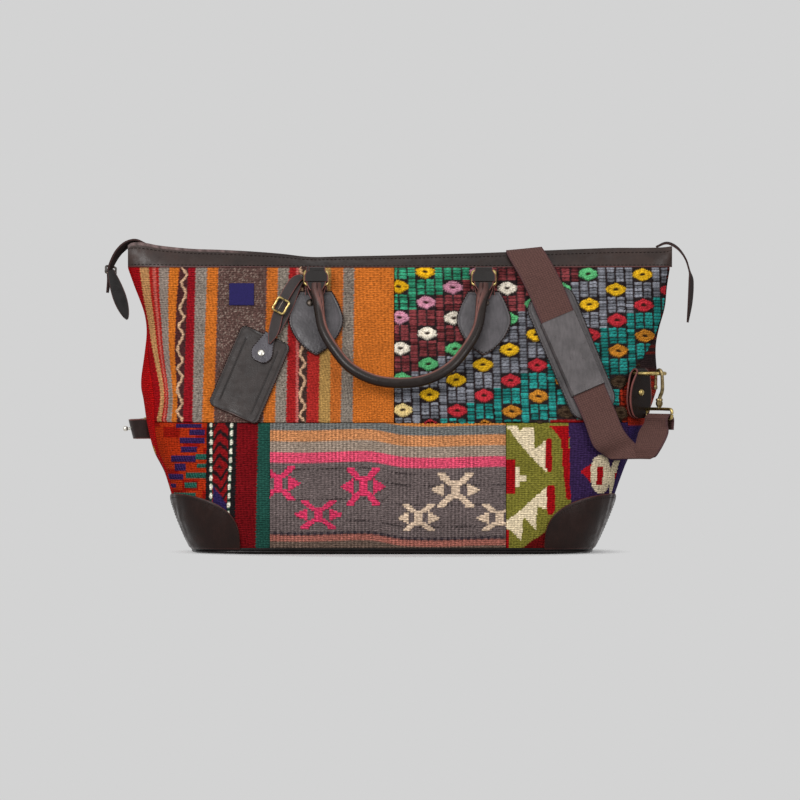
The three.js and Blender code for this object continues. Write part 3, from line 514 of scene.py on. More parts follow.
def zigzag(value):
    """Falls from 1 to 0 and climbs back to 1 over each whole step of the value."""
    return np.abs((value % 1) * 2 - 1)


def chance(*whole):
    """Steady number from 0 to 1 for each set of whole numbers."""
    mixed = sum(part * weight for part, weight in zip(whole, (12.9898, 78.233, 37.719)))
    return np.modf(np.abs(np.sin(mixed) * 43758.5453))[0]


def flecked(tint, amount):
    """Heathered yarn: each point a little lighter or darker."""
    return tint * (1 + amount * (random.random(tint.shape[:2])[..., None] - 0.5))


pinch_outer = profile([[130, -256], [138, -255.4], [158, -251.8], [172, -252.1], [186, -254.6], [214, -260.5],
                       [243, -265.2], [271, -270.4], [302, -274.4]])
pinch_inner = profile([[130, -234.5], [158, -233.5], [186, -235], [214, -236.4], [243, -235.6],
                       [271, -234.3], [302, -231.4]])
# Stripes along the pinched end: right side as a share of its width, and colour
EDGE_STRIPES = [(0.23, "#bf8d5c"), (0.48, "#a8231f"), (0.74, "#8e8076"), (1.0, "#c86e26")]
# Right side of each upright stripe at the foot and at the top, and colour
STRIPE_FOOT, STRIPE_TALL = 144, 155
UPRIGHT_STRIPES = [
    (-227.3, -222.6, "#4b2a2b"), (-217.4, -215, "#8f1620"), (-207.4, -202.6, "#8b8178"),
    (-194.8, -191, "#c66c28"), (-142.8, -139.6, "#604843"), (-130.7, -128, "#c76d2c"),
    (-119.2, -116.6, "#8c8277"), (-106.6, -105, "#9d2223"), (-97.7, -95.6, "#43302c"),
    (-85, -83, "#a82c28"), (-73, -72.5, "#b08a50"), (-62, -59.3, "#bd672c"),
    (-49.4, -47.8, "#83796f"), (10, 10, "#c76d2a")]
# Stripes of mixed wool: left and right side
HEATHERED = [(-191, -143), (-214, -206), (-127, -120), (-58, -50)]
CORD_PITCH, CORD_SWING = 22, 2.5


def striped_cloth(x, z):
    """Upright stripes; the outer ones lean with the pinched end, and a wavy cord runs in each dark stripe."""
    ragged = x + 0.35 * np.sin(z * 3.7) + 0.3 * np.sin(z * 1.3 + x * 0.2)
    tint = field(x, "#9c1218")
    left, right = pinch_outer(z), pinch_inner(z)
    share = (ragged - left) / (right - left)
    start = 0.0
    for end, code in EDGE_STRIPES:
        tint = lay(tint, strip(share, start, end, 0.015), code)
        start = end
    tint = lay(tint, strip(share, 0.32, 0.4, 0.03) * 0.6, "#d07a6c")
    climb = (z - STRIPE_FOOT) / STRIPE_TALL
    low = right
    for at_seam, at_top, code in UPRIGHT_STRIPES:
        high = mix(at_seam, at_top, climb)
        tint = lay(tint, strip(ragged, low, high, 0.4), code)
        low = high
    tint = lay(tint, strip(ragged, -109, -106.4) * 0.55, "#d8837a")
    heather = np.clip(sum(strip(ragged, *sides) for sides in HEATHERED), 0, 1)
    flecks = random.random(x.shape)
    tint = lay(tint, heather * ramp(0.74, 0.99, flecks) * 0.46, "#b9a99b")
    tint = lay(tint, heather * ramp(0.34, 0.02, flecks) * 0.6, "#3a2b28")
    raised = np.zeros_like(x)
    for middle, start in ((mix(-230.9, -226.8, ramp(210, 300, z)), 0.0), (-102.2, 1.1)):
        wave = np.sin(z * math.tau / CORD_PITCH + start + 0.7 * np.sin(z * 0.13))
        off = np.abs(x - middle - CORD_SWING * wave - 0.4 * np.sin(z * 1.3))
        cord = 1 - ramp(1.0, 1.9, off + 0.3 * np.sin(z * 0.7))
        twist = ramp(0.1, 0.9, np.sin(z * 2.9 + x * 2.1))
        tint = lay(tint, cord, "#dcb594")
        tint = lay(tint, cord * twist * 0.6, "#8a5c46")
        raised += cord * (1.0 + 0.3 * twist)
    return flecked(tint, 0.26), raised


# Colours down the slope of the embroidery: lozenges, then float stitches
DIAMONDS = ["#ecb41e", "#cf8ea4", "#f4ead8", "#64c07e", "#eebb26", "#c4343e", "#cd8830", "#4a3a2c"]
FLOATS = ["#338c6a", "#773639", "#787a82", "#25867f"]
# Steps and sizes of the embroidery; the climb is the rise of the slope for each mm across
COLUMN_STEP, DIAMOND_STEP, FLOAT_ROW = 28.56, 32.2, 3.3
FIRST_DIAMOND, ROW_CLIMB = 278.7, 0.55
COLUMN_HALF, BLOCK_HALF, BUNDLE_AT = 9.4, 8.2, 4.76
LOZENGE_TALL, LOZENGE_HALF, LOZENGE_STRANDS = 6.1, 12.2, 2.6
red_corner = profile([[130, 234], [147, 231], [165, 229.5], [180, 237], [196, 258], [212, 290]])


def float_stitch(across, up):
    """Cover and height of a bundle of thread: across and up run from -1 to 1 over it."""
    inside = 1 - ramp(0.7, 1.05, np.abs(across) ** 1.3 + 0.12 * up ** 2)
    inside = inside * (1 - ramp(0.66, 1.0, np.abs(up)))
    return inside, inside * np.sqrt(np.clip(1.05 - up ** 2, 0, 1)) * (1 - 0.35 * across ** 4)


def strands(up, luck):
    """Lighter and darker strands across a bundle."""
    return 1 + 0.24 * np.sin(up * 5.2 + luck * 6)


def slope_at(z, rise):
    """Place down the slope along which lozenges and float colours climb, in lozenges from the first one."""
    return (FIRST_DIAMOND - (z - rise)) / DIAMOND_STEP


def float_colour(tint, here, slope, cover, shade):
    """Lays the float colours, which change along the slope, each bundle with its own shade."""
    number_at = np.clip(np.floor((np.floor(slope) + 1) / 2), 0, len(FLOATS) - 1)
    for number, code in enumerate(FLOATS):
        dyed = lay(tint, cover, code) * shade[..., None]
        tint = np.where((here & (number_at == number))[..., None], dyed, tint)
    return tint


def lozenges(tint, raised, column, dx, slope):
    """Lays eye-shaped lozenges over the float stitches: strands that part round a dark eye and meet at both
    points. Gives the tint and what the lozenges raise."""
    diamond = np.round(slope)
    dz = (diamond - slope) * DIAMOND_STEP + 0.3 * np.sin(dx * 0.8 + diamond)
    jag = np.abs(np.mod(dx * 0.5 + chance(column, diamond, 9), 1) - 0.5)
    tall = LOZENGE_TALL * np.clip(1 - (np.abs(dx) / LOZENGE_HALF) ** 1.3, 0, 1) + 0.3 + 2.3 * jag
    part = dz / tall
    level = np.clip(np.round(part * LOZENGE_STRANDS), -3, 3)
    luck = chance(column, diamond, level)
    up = (part * LOZENGE_STRANDS - level) * 2
    cover = 1 - ramp(0.9, 1.08, np.abs(part) + 0.12 * (luck - 0.5))
    cover = cover * (1 - ramp(10.2, 11.6, np.abs(dx) + 2.2 * luck))
    height = np.sqrt(np.clip(1.02 - up ** 2, 0, 1)) * (0.6 + 0.4 * np.sqrt(np.clip(tall / 7, 0, 1)))
    eye = np.clip(1.25 - ((dx / 3.2) ** 2 + (dz / 1.5) ** 2), 0, 1)
    # Painted shade and highlight: the middle factor makes each strand lighter along its crest and darker at
    # its edges, where the strands meet; the other factors are the thread's own tone.
    shade = (0.84 + 0.35 * luck) * (0.6 + 0.46 * height) * (1 + 0.12 * np.sin(dx * 2.3 + level * 2))
    for number, code in enumerate(DIAMONDS):
        dyed = lay(tint, cover, code) * mix(1, shade, cover)[..., None]
        tint = np.where((np.clip(diamond, 0, len(DIAMONDS) - 1) == number)[..., None], dyed, tint)
    tint = lay(tint, cover * ((diamond == 4) & (column == 0)) * 0.6, "#efe2b4")
    tint = lay(tint, np.sqrt(eye) * cover, "#2f2119")
    return tint, mix(raised, height * 1.4 * (1 - 0.85 * eye) + 0.2, cover)


def embroidered_cloth(x, z):
    """Dark ground with columns of float stitches. Two columns in three are broken by lozenges; lozenges and
    float colours climb along one slope, and the right corner is plain red."""
    leaned = x + 0.5 + 0.035 * (z - 245)
    column = np.round(leaned / COLUMN_STEP)
    dx = leaned - column * COLUMN_STEP
    tint = field(x, "#2a2223")
    slope = slope_at(z, ROW_CLIMB * column * COLUMN_STEP)
    block = np.floor(slope)
    block_z = (slope - block - 0.5) * DIAMOND_STEP + 0.25 * np.sin(x * 0.9)
    row = np.floor(block_z / FLOAT_ROW + 0.5)
    side = np.sign(dx)
    luck = chance(column * 2 + side, row, block)
    wide = 4.0 + 0.7 * chance(row, column + side, block)
    across = (np.abs(dx) - BUNDLE_AT - 0.5 * (luck - 0.5)) / wide
    up = (block_z - row * FLOAT_ROW + 0.7 * (luck - 0.5)) / (FLOAT_ROW / 2)
    cover, height = float_stitch(across, up)
    here = (np.abs(block_z) < BLOCK_HALF) & (np.abs(dx) < COLUMN_HALF)
    tint = float_colour(tint, here, slope, cover, (0.6 + 1.15 * luck ** 1.4) * strands(up, luck))
    raised = np.where(here, height * (0.7 + 0.6 * luck), 0.0)
    between = (np.floor(leaned / COLUMN_STEP) + 0.5) * COLUMN_STEP
    row = np.floor(z / FLOAT_ROW)
    luck = chance(between, row, 3)
    up = (z / FLOAT_ROW - row) * 2 - 1 + 0.35 * (luck - 0.5)
    cover, height = float_stitch((leaned - between + 0.7 * (luck - 0.5)) / (3.6 + 0.7 * luck), up)
    here = np.abs(dx) > COLUMN_HALF
    gap_slope = slope_at(z, ROW_CLIMB * between)
    tint = float_colour(tint, here, gap_slope, cover, (0.56 + 1.15 * luck ** 1.4) * strands(up, luck))
    raised = np.where(here, height * (0.6 + 0.5 * luck), raised)
    corner = x > red_corner(z)
    tint = paint(tint, corner & (raised > 0.22), "#a3301b", 0.6 + 0.6 * luck)
    tint = paint(tint, corner & ~(raised > 0.22), "#4a1a12")
    tint, raised = lozenges(tint, raised, column, dx, slope)
    ledge = strip(x, 157, 193, 1.0) * (1 - ramp(139, 141, z))
    tint = flecked(lay(tint, ledge, "#8d1518"), 0.2)
    return tint, raised * (1 - ledge) * (1 - 0.8 * ramp(294.5, 297, z))


def stepped(x, z, across=1.2, up=1.7):
    """Places rounded to whole yarns, which gives woven edges their small steps."""
    return np.round(x / across) * across, np.round(z / up) * up


def within(x, z, outline):
    """True inside an outline of (x, z) corners: counts the edges to the right of each place."""
    corners = np.array(outline, float)
    inside = np.zeros(x.shape, bool)
    for (x0, z0), (x1, z1) in zip(corners, np.roll(corners, -1, axis=0)):
        crosses = (z0 > z) != (z1 > z)
        meets = x0 + (z - z0) * (x1 - x0) / np.where(z1 == z0, 1e-9, z1 - z0)
        inside ^= crosses & (x < meets)
    return inside


def box(x, z, left, right, low, high):
    """True inside an upright rectangle."""
    return (x > left) & (x < right) & (z > low) & (z < high)


# Level bands of the figured cloth: top and colour
CENTRE_BANDS = [(13.6, "#6b5a50"), (20.6, "#a5665a"), (95.6, "#6b5f5e"), (106.6, "#d94f6c"),
                (118, "#9b8a7c"), (129.4, "#c8885a"), (139, "#6f706e"), (150, "#c9803f")]
# Figures: middle across and up, half width, half height and yarn
PINK, CREAM = "#e03f68", "#e8cdb2"
FIGURES = [(-38.4, 70.4, 22.5, 19.2, PINK), (-85.4, 41, 24, 14.7, PINK), (-127.3, 73.5, 22.5, 18, PINK),
           (58, 66.6, 24.7, 17.3, CREAM), (19.6, 37.6, 21.5, 14.5, CREAM), (104.2, 37.6, 24, 14, CREAM)]
# Dark streaks in the field: height, start and end
STREAKS = [(89, -125, 30), (77, -60, 110), (57, -130, 90), (34, -60, 110)]
RIB_PITCH, FIGURE_RIB = 3.9, 3.8


def figure(across, up):
    """A woven figure: upright bar, four arms to the corners and a pointed leaf on each side, from -1 to 1."""
    a, b = np.abs(across), np.abs(up)
    body = (a < 0.19) & (b < 0.55)
    spine = mix(0.08, 0.6, np.clip((b - 0.3) / 0.62, 0, 1) ** 0.8)
    arms = (np.abs(a - spine) < 0.19) & (b > 0.3) & (b < 1)
    leaf = (a > 0.47) & (a < 1.02) & (b < 0.4 * (1 - (a - 0.47) / 0.55) + 0.05)
    return body | arms | leaf


def figured_cloth(x, z):
    """Level bands on ribbed ground, all stepping down to the right, with rows of woven figures."""
    drop = 5.4 * ramp(-37, 8, x) + 0.8 * np.sin(x * 0.045)
    level = z + drop + 0.35 * np.sin(x * 2.6)
    tint = field(x, CENTRE_BANDS[-1][1])
    for top, code in CENTRE_BANDS[::-1]:
        tint = lay(tint, 1 - ramp(top - 0.5, top + 0.5, level), code)
    dashes = 0.4 + 0.5 * ramp(-0.2, 0.4, np.sin(x * 0.9))
    tint = lay(tint, strip(level, 19.6, 23.4, 0.4) * dashes, "#2f2830")
    for height, start, end in STREAKS:
        line = strip(level, height - 0.9, height + 0.9, 0.4) * strip(x, start, end, 4)
        dashes = ramp(-0.5, 0.4, np.sin(x * 1.3) + np.sin(x * 0.17 + height))
        tint = lay(tint, line * 0.8 * dashes, "#241e20")
    # Painted shade and highlight: the ground is lighter on each rib the mesh raises and darker between; the
    # speckle is the yarn's own tone.
    ribs = np.sin(x * math.tau / RIB_PITCH)
    speckle = random.random(x.shape)
    tint = tint * (1 + 0.2 * ribs + 0.5 * (speckle - 0.5))[..., None]
    raised = 0.3 * ribs
    whole_x, whole_z = stepped(x, z, 1.2, 1.9)
    for middle_x, middle_z, wide, high, code in FIGURES:
        inside = figure((whole_x - middle_x) / wide, (whole_z - middle_z) / high)
        # Painted shade and highlight: the figures are lighter and darker along their ribs, in step with the
        # ribs the mesh raises.
        tint = paint(tint, inside, code, 0.88 + 0.2 * np.sin(z * math.tau / FIGURE_RIB + x * 0.5))
        raised = np.where(inside, 0.75 + 0.2 * np.sin(z * math.tau / FIGURE_RIB), raised)
    return flecked(tint, 0.12), raised


# Raised bricks: left, right, foot and top
NAVY_BRICKS = [(-235.2, -206.9, 131.2, 136.5), (-220.5, -204.8, 123.9, 129.2), (-231.0, -204.8, 114.5, 120.8),
               (-228.9, -213.2, 106.1, 111.3), (-239.4, -214.2, 94.5, 102.9), (-236.2, -224.7, 86.1, 93.5),
               (-243.6, -226.8, 76.7, 83.0), (-241.5, -235.2, 68.2, 73.5)]
GREEN_BRICKS = [(-214.2, -201.6, 97.7, 104.0), (-213.2, -201.6, 89.2, 94.5), (-224.7, -201.6, 78.8, 85.0),
                (-225.8, -213.2, 68.2, 74.5), (-237.3, -214.2, 58.8, 64.0)]
BEAD_STEP = 9.3


def beaded_cloth(x, z):
    """Orange field with raised navy and green bricks, a dark band with two strings of beads and a zigzag
    between them, then plain red and plain green."""
    tint = field(x, "#ab3011")
    whole_x, whole_z = stepped(x, z, 1.3, 1.5)
    shelf = np.floor(z / 11)
    patch = shelf + np.floor((x + 4 * shelf) / 17)
    tint = paint(tint, chance(patch) > 0.62, "#8e160c")
    raised = np.zeros_like(x)
    # Painted shade and highlight: the bricks are lighter along the twists of the cord, which the mesh also
    # raises, and darker between them.
    rope = np.sin((x * 1.1 + z * 0.5) * 2.2)
    for bricks, code in ((NAVY_BRICKS, "#31204c"), (GREEN_BRICKS, "#24564a")):
        for left, right, low, high in bricks:
            inside = box(whole_x, whole_z, left, right, low, high)
            tint = paint(tint, inside, code, 1.1 + 0.5 * rope)
            edge = np.minimum(np.minimum(x - left, right - x), np.minimum(z - low, high - z))
            raised = np.where(inside, 1.1 * np.sqrt(np.clip(edge / 2.6, 0.05, 1)) + 0.12 * rope, raised)
    leaned = x + 0.02 * (SEAM - z)
    tint = paint(tint, leaned > -202, "#1f1b1d")
    middle = strip(leaned, -195, -179.5, 0.3)
    tint = lay(tint, middle, "#86161a")
    climb = np.where(np.sin(z * math.pi / 45) > 0, 1.0, -1.0)
    chevron = np.mod((z + climb * np.abs(leaned + 187.2) * 1.2) / 12.5 + 0.1 * np.sin(x * 0.7), 1)
    tint = lay(tint, middle * strip(chevron, 0.08, 0.46, 0.06), "#241a1c")
    tint = paint(tint, within(whole_x, whole_z, [(-196, 72), (-181, 52), (-181, 30), (-196, 50)]), "#2d2450")
    bead = (np.mod(z / BEAD_STEP, 1) - 0.5) * BEAD_STEP
    for string in (-197.8, mix(-179.6, -176.2, ramp(30, SEAM, z))):
        ball = 1 - ((x - string) / 1.6) ** 2 - (bead / 3.3) ** 2
        cord = 1 - ((x - string) / 1.3) ** 2
        tint = paint(tint, cord > 0, "#2c4f42", 0.8 + 0.4 * np.sin(z * 2))
        tint = paint(tint, ball > 0, "#ebe8d4")
        raised = np.maximum(raised, np.where(ball > 0, 1.2 * np.sqrt(np.clip(ball, 0, 1)), 0))
        raised = np.maximum(raised, np.where(cord > 0, 0.6 * np.sqrt(np.clip(cord, 0, 1)), 0))
    ragged = leaned + 0.5 * np.sin(z * 1.7)
    tint = paint(tint, ragged > -170.5, "#701016")
    tint = paint(tint, ragged > -148.5, "#234e44")
    return flecked(tint, 0.28), raised


# Outlines of the saw cloth, as (x, z) corners
UPPER_SAW = [(111.8, 133), (123, 133), (125, 127), (129, 132.5), (140, 132.5), (140.7, 109), (145, 112),
             (152.6, 118.5), (153, 85.6), (141, 97), (127, 113), (117.6, 125.7)]
LOWER_SAW = [(153.3, 70), (155.3, 46), (143.4, 50), (142.3, 25), (129, 39), (127, 13.8), (116, 24),
             (110, 27), (110, 35), (121.7, 41.3), (136.8, 55.7)]
RED_EDGE = [(156, 134), (180, 134), (176.6, 119), (180, 57), (174, 57), (170, 95), (169, 119)]
LOW_CORNER = [(117.6, 0), (160, 0), (160, 26), (154, 24), (130, 8)]
HOOKED = [(219, 62), (225, 62), (224.6, 78), (230.5, 97), (224, 97), (219.4, 84)]


def barred(x, z, left, right, low, high):
    """True inside an upright bar whose ends taper over the last 4 mm."""
    taper = np.clip(4 - np.minimum(z - low, high - z), 0, 4) * 0.6
    inside = box(x, z, left, right, low, high)
    return inside & (np.abs(x - (left + right) / 2) < (right - left) / 2 - taper)


def saw_cloth(x, z):
    """Green field with two cream saw-toothed diagonals, red bars, a red edge and an eye on violet."""
    tint = field(x, "#7b7630")
    spot = stepped(x, z, 1.1, 1.6)
    sx, sz = spot
    cream, red, pale = "#e6d4b2", "#9c1016", "#dccdac"
    fields = [(within(*spot, UPPER_SAW), cream), (within(*spot, LOWER_SAW), cream),
              (barred(*spot, 152.6, 159.5, 85, 121.6), red), (barred(*spot, 153.3, 162.2, 40.6, 72), red),
              (box(*spot, 109, 121, 63, 99), red), (box(*spot, 121, 125, 69.4, 90), cream),
              (box(*spot, 125, 132.4, 76.5, 83), cream), (within(*spot, RED_EDGE), red),
              (within(*spot, LOW_CORNER), "#5e0f10"), (box(*spot, 109, 113.5, 0, 25), red),
              (sx - 0.02 * (SEAM - sz) > 176.8, "#36254a"),
              (within(*spot, [(189, 86), (201, 94.5), (201, 73)]), "#a5161f"),
              (((sx - 210) / 10.5) ** 2 + (np.abs(sz - 83) / 20) ** 2.6 < 1, "#d2c2a4"),
              (within(*spot, [(206.5, 90.7), (213.5, 90.7), (211.5, 71.5), (205.5, 71.5)]), red),
              (box(*spot, 214, 221, 76, 85), pale), (within(*spot, HOOKED), pale),
              (within(*spot, [(225.6, 71), (225.4, 84), (233, 87), (233, 68)]), red)]
    for inside, code in fields:
        tint = paint(tint, inside, code)
    weft = np.sin(z * math.tau / 2.1 + 0.4 * np.sin(x * 0.5))
    # Painted shade and highlight: lighter on each weft row the mesh raises and darker between.
    tint = tint * (1 + 0.1 * weft)[..., None]
    return flecked(tint, 0.22), 0.12 * weft


# Cloth panels

def cloth_panel(left, right, low, high, columns, rows, pattern, back=False):
    """Sewn panel between two turns: points on the bag, pushed out by what the weave raises."""
    z = np.linspace(low, high, rows)[:, None]
    share = np.linspace(0, 1, columns)[None]
    points = bag_side(mix(left(z), right(z), share) + (math.pi if back else 0), z, 0.0)
    x = -points[..., 0] if back else points[..., 0]
    tint, raised = pattern(x, points[..., 2])
    points = points + normals(points) * raised[..., None]
    return sewn(points, tint, tuck=1.0)


def at_x(x):
    """Turn of an upright join at x on the front, by height."""
    return lambda z: turn_at(x, z)


def at_left_seam(z):
    """Turn of the seam with the left end panel."""
    return -seam_turn(left_end(z), z)


def at_right_seam(z):
    """Turn of the seam with the right end panel."""
    return seam_turn(right_end(z), z)


def back_from_right(z):
    """Turn of the right end seam seen from the back, counted from the middle of the back."""
    return -at_right_seam(z)


def back_from_left(z):
    """Turn of the left end seam seen from the back, counted from the middle of the back."""
    return -at_left_seam(z)


JOIN = 0.35
UPPER_JOIN, LOWER_LEFT, LOWER_RIGHT = -6, -136, 111
CLOTH_FOOT = 2
upper_join = at_x(UPPER_JOIN - JOIN), at_x(UPPER_JOIN + JOIN)
left_join = at_x(LOWER_LEFT - JOIN), at_x(LOWER_LEFT + JOIN)
right_join = at_x(LOWER_RIGHT - JOIN), at_x(LOWER_RIGHT + JOIN)
upper, lower = (SEAM + JOIN, PANEL_TOP), (CLOTH_FOOT, SEAM - JOIN)
for name, left, right, heights, columns, rows, pattern, cloth, slot, solid in (
        ("striped_panel", at_left_seam, upper_join[0], upper, 310, 150, striped_cloth,
         flat_kilim, "kilim_striped", "front_upper_striped_panel"),
        ("embroidered_panel", upper_join[1], at_right_seam, upper, 358, 234, embroidered_cloth,
         float_kilim, "kilim_embroidered", "front_upper_embroidered_panel"),
        ("beaded_panel", at_left_seam, left_join[0], lower, 164, 160, beaded_cloth,
         flat_kilim, "kilim_beaded", "front_lower_left_panel"),
        ("figured_panel", left_join[1], right_join[0], lower, 320, 150, figured_cloth,
         ribbed_kilim, "kilim_motif", "front_lower_centre_panel"),
        ("saw_panel", right_join[1], at_right_seam, lower, 180, 155, saw_cloth,
         flat_kilim, "kilim_green", "front_lower_right_panel")):
    panel = cloth_panel(left, right, *heights, columns, rows, pattern)
    make(name, [panel], cloth, slot=slot, replaces=[solid])


# Leather cut from hide: flat pieces with eased edges, raw sides and lines of thread

HIDE, GREY, CHOCOLATE, PLUM, DARK_THREAD = "#33241f", "#444043", "#21110d", "#74413c", "#1f1615"


def moved(grid, signs):
    """The same piece with some of its axes turned about; an odd number of them turns its faces over."""
    flip = grid.flip != (np.prod(signs) < 0)
    return Grid(grid.points * signs, grid.tint, grid.cloth, grid.ring, grid.hoop, grid.caps, flip)


def turn_round(grid):
    """The same piece on the other side of the bag: half a turn round the upright middle."""
    return moved(grid, (-1, -1, 1))


def face_back(grid):
    """The same piece mirrored from the front to the back."""
    return moved(grid, (1, -1, 1))


def as_made(grid):
    """The piece where it was made."""
    return grid


def rim_distance(points):
    """Distance of each point of a grid from the nearest edge, measured along its row and its column."""
    def from_start(axis):
        step = np.linalg.norm(np.diff(points, axis=axis), axis=-1)
        pad = [(1, 0), (0, 0)] if axis == 0 else [(0, 0), (1, 0)]
        return np.cumsum(np.pad(step, pad), axis=axis)
    down, right = from_start(0), from_start(1)
    return np.minimum(np.minimum(down, down[-1:] - down), np.minimum(right, right[:, -1:] - right))


def hide(points, thick, code, edge=PLUM, ease=1.0, crown=0.0, groove=0.0):
    """Flat leather: the outer face is eased down at its rim and pressed in along the stitches at the distance
    groove; a raw edge of the given thickness closes it below."""
    out = normals(points)
    reach = rim_distance(points)
    drop = 0.45 * ease
    slope = np.sqrt(np.clip(1 - (1 - np.clip(reach / ease, 0, 1)) ** 2, 0, 1))
    channel = np.exp(-((reach - groove) / 0.9) ** 2) * (groove > 0)
    rise = (slope - 1) * drop + crown * ramp(0, 14, reach) - 0.35 * channel
    tint = mix(hex_colour(edge), hex_colour(code), ramp(0.35 * ease, 0.95 * ease, reach)[..., None])
    # Painted shade: the leather is darkened along the stitch groove, by up to 0.45.
    tint = tint * (1 - 0.45 * channel)[..., None]
    face = points + out * rise[..., None]
    return Grid(walled(face, out, thick - drop), bordered(tint), ring=True, caps=True)


def thread_line(path, out, pitch=3.6, radius=0.42, height=0.35, code=DARK_THREAD):
    """Sewing thread: a thin round cord that rises over the leather and dips into it once in each stitch."""
    steps, sides, depth = 6, 5, 0.35
    count = max(2, int(np.linalg.norm(np.diff(path, axis=0), axis=1).sum() / pitch)) * steps + 1
    both = smooth_path(np.hstack([path, np.broadcast_to(out, path.shape) * 0.01]), count)
    line, up = both[:, :3], unit(both[:, 3:])
    wave = np.clip(np.cos(np.arange(count) / steps * math.tau) * 1.5 + 0.35, -1, 1)
    line = line + up * (wave * (height + depth) - depth)[:, None]
    return sweep(line, np.cross(heading(line), up), circle(radius, sides), tint=hex_colour(code))


def inset(points, inner):
    """Line round a grid at a distance from its rim, with the outward direction there."""
    out = normals(points)
    rows, columns = points.shape[:2]
    step_down = np.linalg.norm(points[-1, columns // 2] - points[0, columns // 2]) / (rows - 1)
    level = int(max(1, round(inner / step_down)))
    side = np.linalg.norm(np.diff(points, axis=1), axis=-1).sum(axis=1) / (columns - 1)
    index = np.clip(np.round(inner / np.maximum(side, 1e-3)).astype(int), 1, columns // 2 - 1)
    keep = np.arange(level, rows - level)
    left = (keep, index[keep])
    right = (keep[::-1], columns - 1 - index[keep][::-1])
    return np.vstack([points[left], points[right]]), np.vstack([out[left], out[right]])


def strap(stations, thick, count, code, edge=PLUM, crown=0.0, ease=0.5, square=True):
    """Cut strap: stations of (point, way across, half width); a flat section with eased corners is carried
    along them, floor first, then up the right side, over the roof and down the left."""
    rows = [np.concatenate([point, unit(np.array(way, float)), [half]]) for point, way, half in stations]
    spread = smooth_path(rows, count)
    path, ways, half = spread[:, :3], spread[:, 3:6], np.maximum(spread[:, 6], 0.4)
    share = np.array([-1, -0.92, -0.5, 0, 0.5, 0.92, 1])
    ease = min(ease, thick * 0.45)
    arc = np.linspace(0, math.pi / 2, 4)
    width = (half - ease)[:, None]
    floor_line = together(width * share, 0.0)
    right_low = together(width + ease * np.sin(arc), ease - ease * np.cos(arc))[:, 1:]
    right_high = together(width + ease * np.cos(arc), thick - ease + ease * np.sin(arc))[:, :-1]
    roof = together(width * share[::-1], thick + crown * (1 - share[::-1] ** 2))
    left_high = right_high[:, ::-1] * (-1, 1)
    left_low = right_low[:, ::-1] * (-1, 1)
    section = np.concatenate([floor_line, right_low, right_high, roof, left_high, left_low], axis=1)
    # The flats of the floor and the roof have the colour of the hide, and the rest is raw edge
    flats = np.isin(np.arange(section.shape[1]), np.r_[1:6, 14:19])
    tint = np.where(flats[:, None], hex_colour(code), hex_colour(edge))
    cloth = together(section[..., 0], lengths(path)[:, None])
    return sweep(path, ways, section, square=square, tint=tint, cloth=cloth)


def level_stations(path, way, widths):
    """Stations of a strap that keeps one way across."""
    return [(point, way, half) for point, half in zip(path, widths)]


# Bands along the mouth

HALF_BAND = 286.5
BAND_FOOT = 299.3
# Height of the mouth: it rises to both ends and dips by the left handle
top_edge = profile([[-287, 320.6], [-284, 323.4], [-276, 324.6], [-266, 323.4], [-252, 320.8], [-220, 317.6],
                    [-189, 316.5], [-157, 314.8], [-126, 312.4], [-94, 309], [-63, 309.5], [0, 310.8],
                    [63, 312.4], [94, 313.4], [157, 316], [220, 318.4], [252, 318.6], [275, 319],
                    [287, 320.4]])


def mouth_gap(x):
    """Half the opening between the bands, in front of the zip."""
    return mix(11.0, 5.0, (x / HALF_BAND) ** 2)


def band_face(x, v, lift=0.0):
    """Outer face of the front band: straight from the cloth to the mouth, a little full in the middle."""
    foot = front(x, BAND_FOOT, 0.8)[..., 1]
    full = 1.3 * np.sin(math.pi * np.clip(v, 0, 1))
    rise = top_edge(x) - BAND_FOOT
    y = mix(foot, -mouth_gap(x), v) - (full + lift) * 0.55
    return together(x, y, BAND_FOOT + rise * v + (full + lift) * 0.2)


def band():
    """Closed band: up the inside, over the folded edge and down the outside to a raw edge on the cloth."""
    x = np.linspace(-HALF_BAND, HALF_BAND, 190)[:, None]
    inside = np.array([0.0, 0.5, 0.95])[None]
    over = np.array([1.0, 1.0, 0.97])[None]
    v = np.array([0.93, 0.87, 0.82, 0.79, 0.76, 0.7, 0.6, 0.48, 0.36, 0.24, 0.13, 0.06, 0.02, 0.0])[None]
    strip_lift = np.array([0.5, 0.55, 0.5, -0.1, 0.1, 0, 0, 0, 0, 0, 0, 0, -0.2, -0.7])[None]
    rear = band_face(x, inside) + (0, 2.6, 0)
    fold = band_face(x, over, np.array([[-2.0, 0.1, 0.5]]))
    fold = fold + np.array([[0, 0.9, 0.6], [0, 0.2, 0.9], [0, 0, 0.5]])
    points = np.concatenate([rear, fold, band_face(x, v, strip_lift)], axis=1)
    tint = np.broadcast_to(hex_colour(HIDE), points.shape)
    # Painted shade: the band is darkened to 0.55 across its middle and kept at full colour towards both ends.
    tint = tint * mix(0.55, 1.0, ramp(120, 260, np.abs(x)))[..., None]
    # Painted highlight: how strongly the sheen under the fold shows along the band, in patches, fading out
    # towards the left end.
    sheen_patches = (0.55 + 0.45 * np.sin(x * 0.9) * np.sin(x * 0.37 + 1)) * (1 - ramp(-190, -150, x))
    # The first strip under the fold carries a painted sheen, lighter in patches along the band, and the last
    # two lines are the raw foot
    line = np.arange(points.shape[1])
    sheen_strip, foot = (line >= 3) & (line < 7), line >= len(line) - 2
    tint = mix(tint, hex_colour("#8d7472"), (sheen_strip * np.clip(sheen_patches, 0, 1) * 0.75)[..., None])
    tint = mix(tint, hex_colour("#5e2f2d"), foot[None, :, None] * 0.8)
    return Grid(points, tint, ring=True, caps=True)


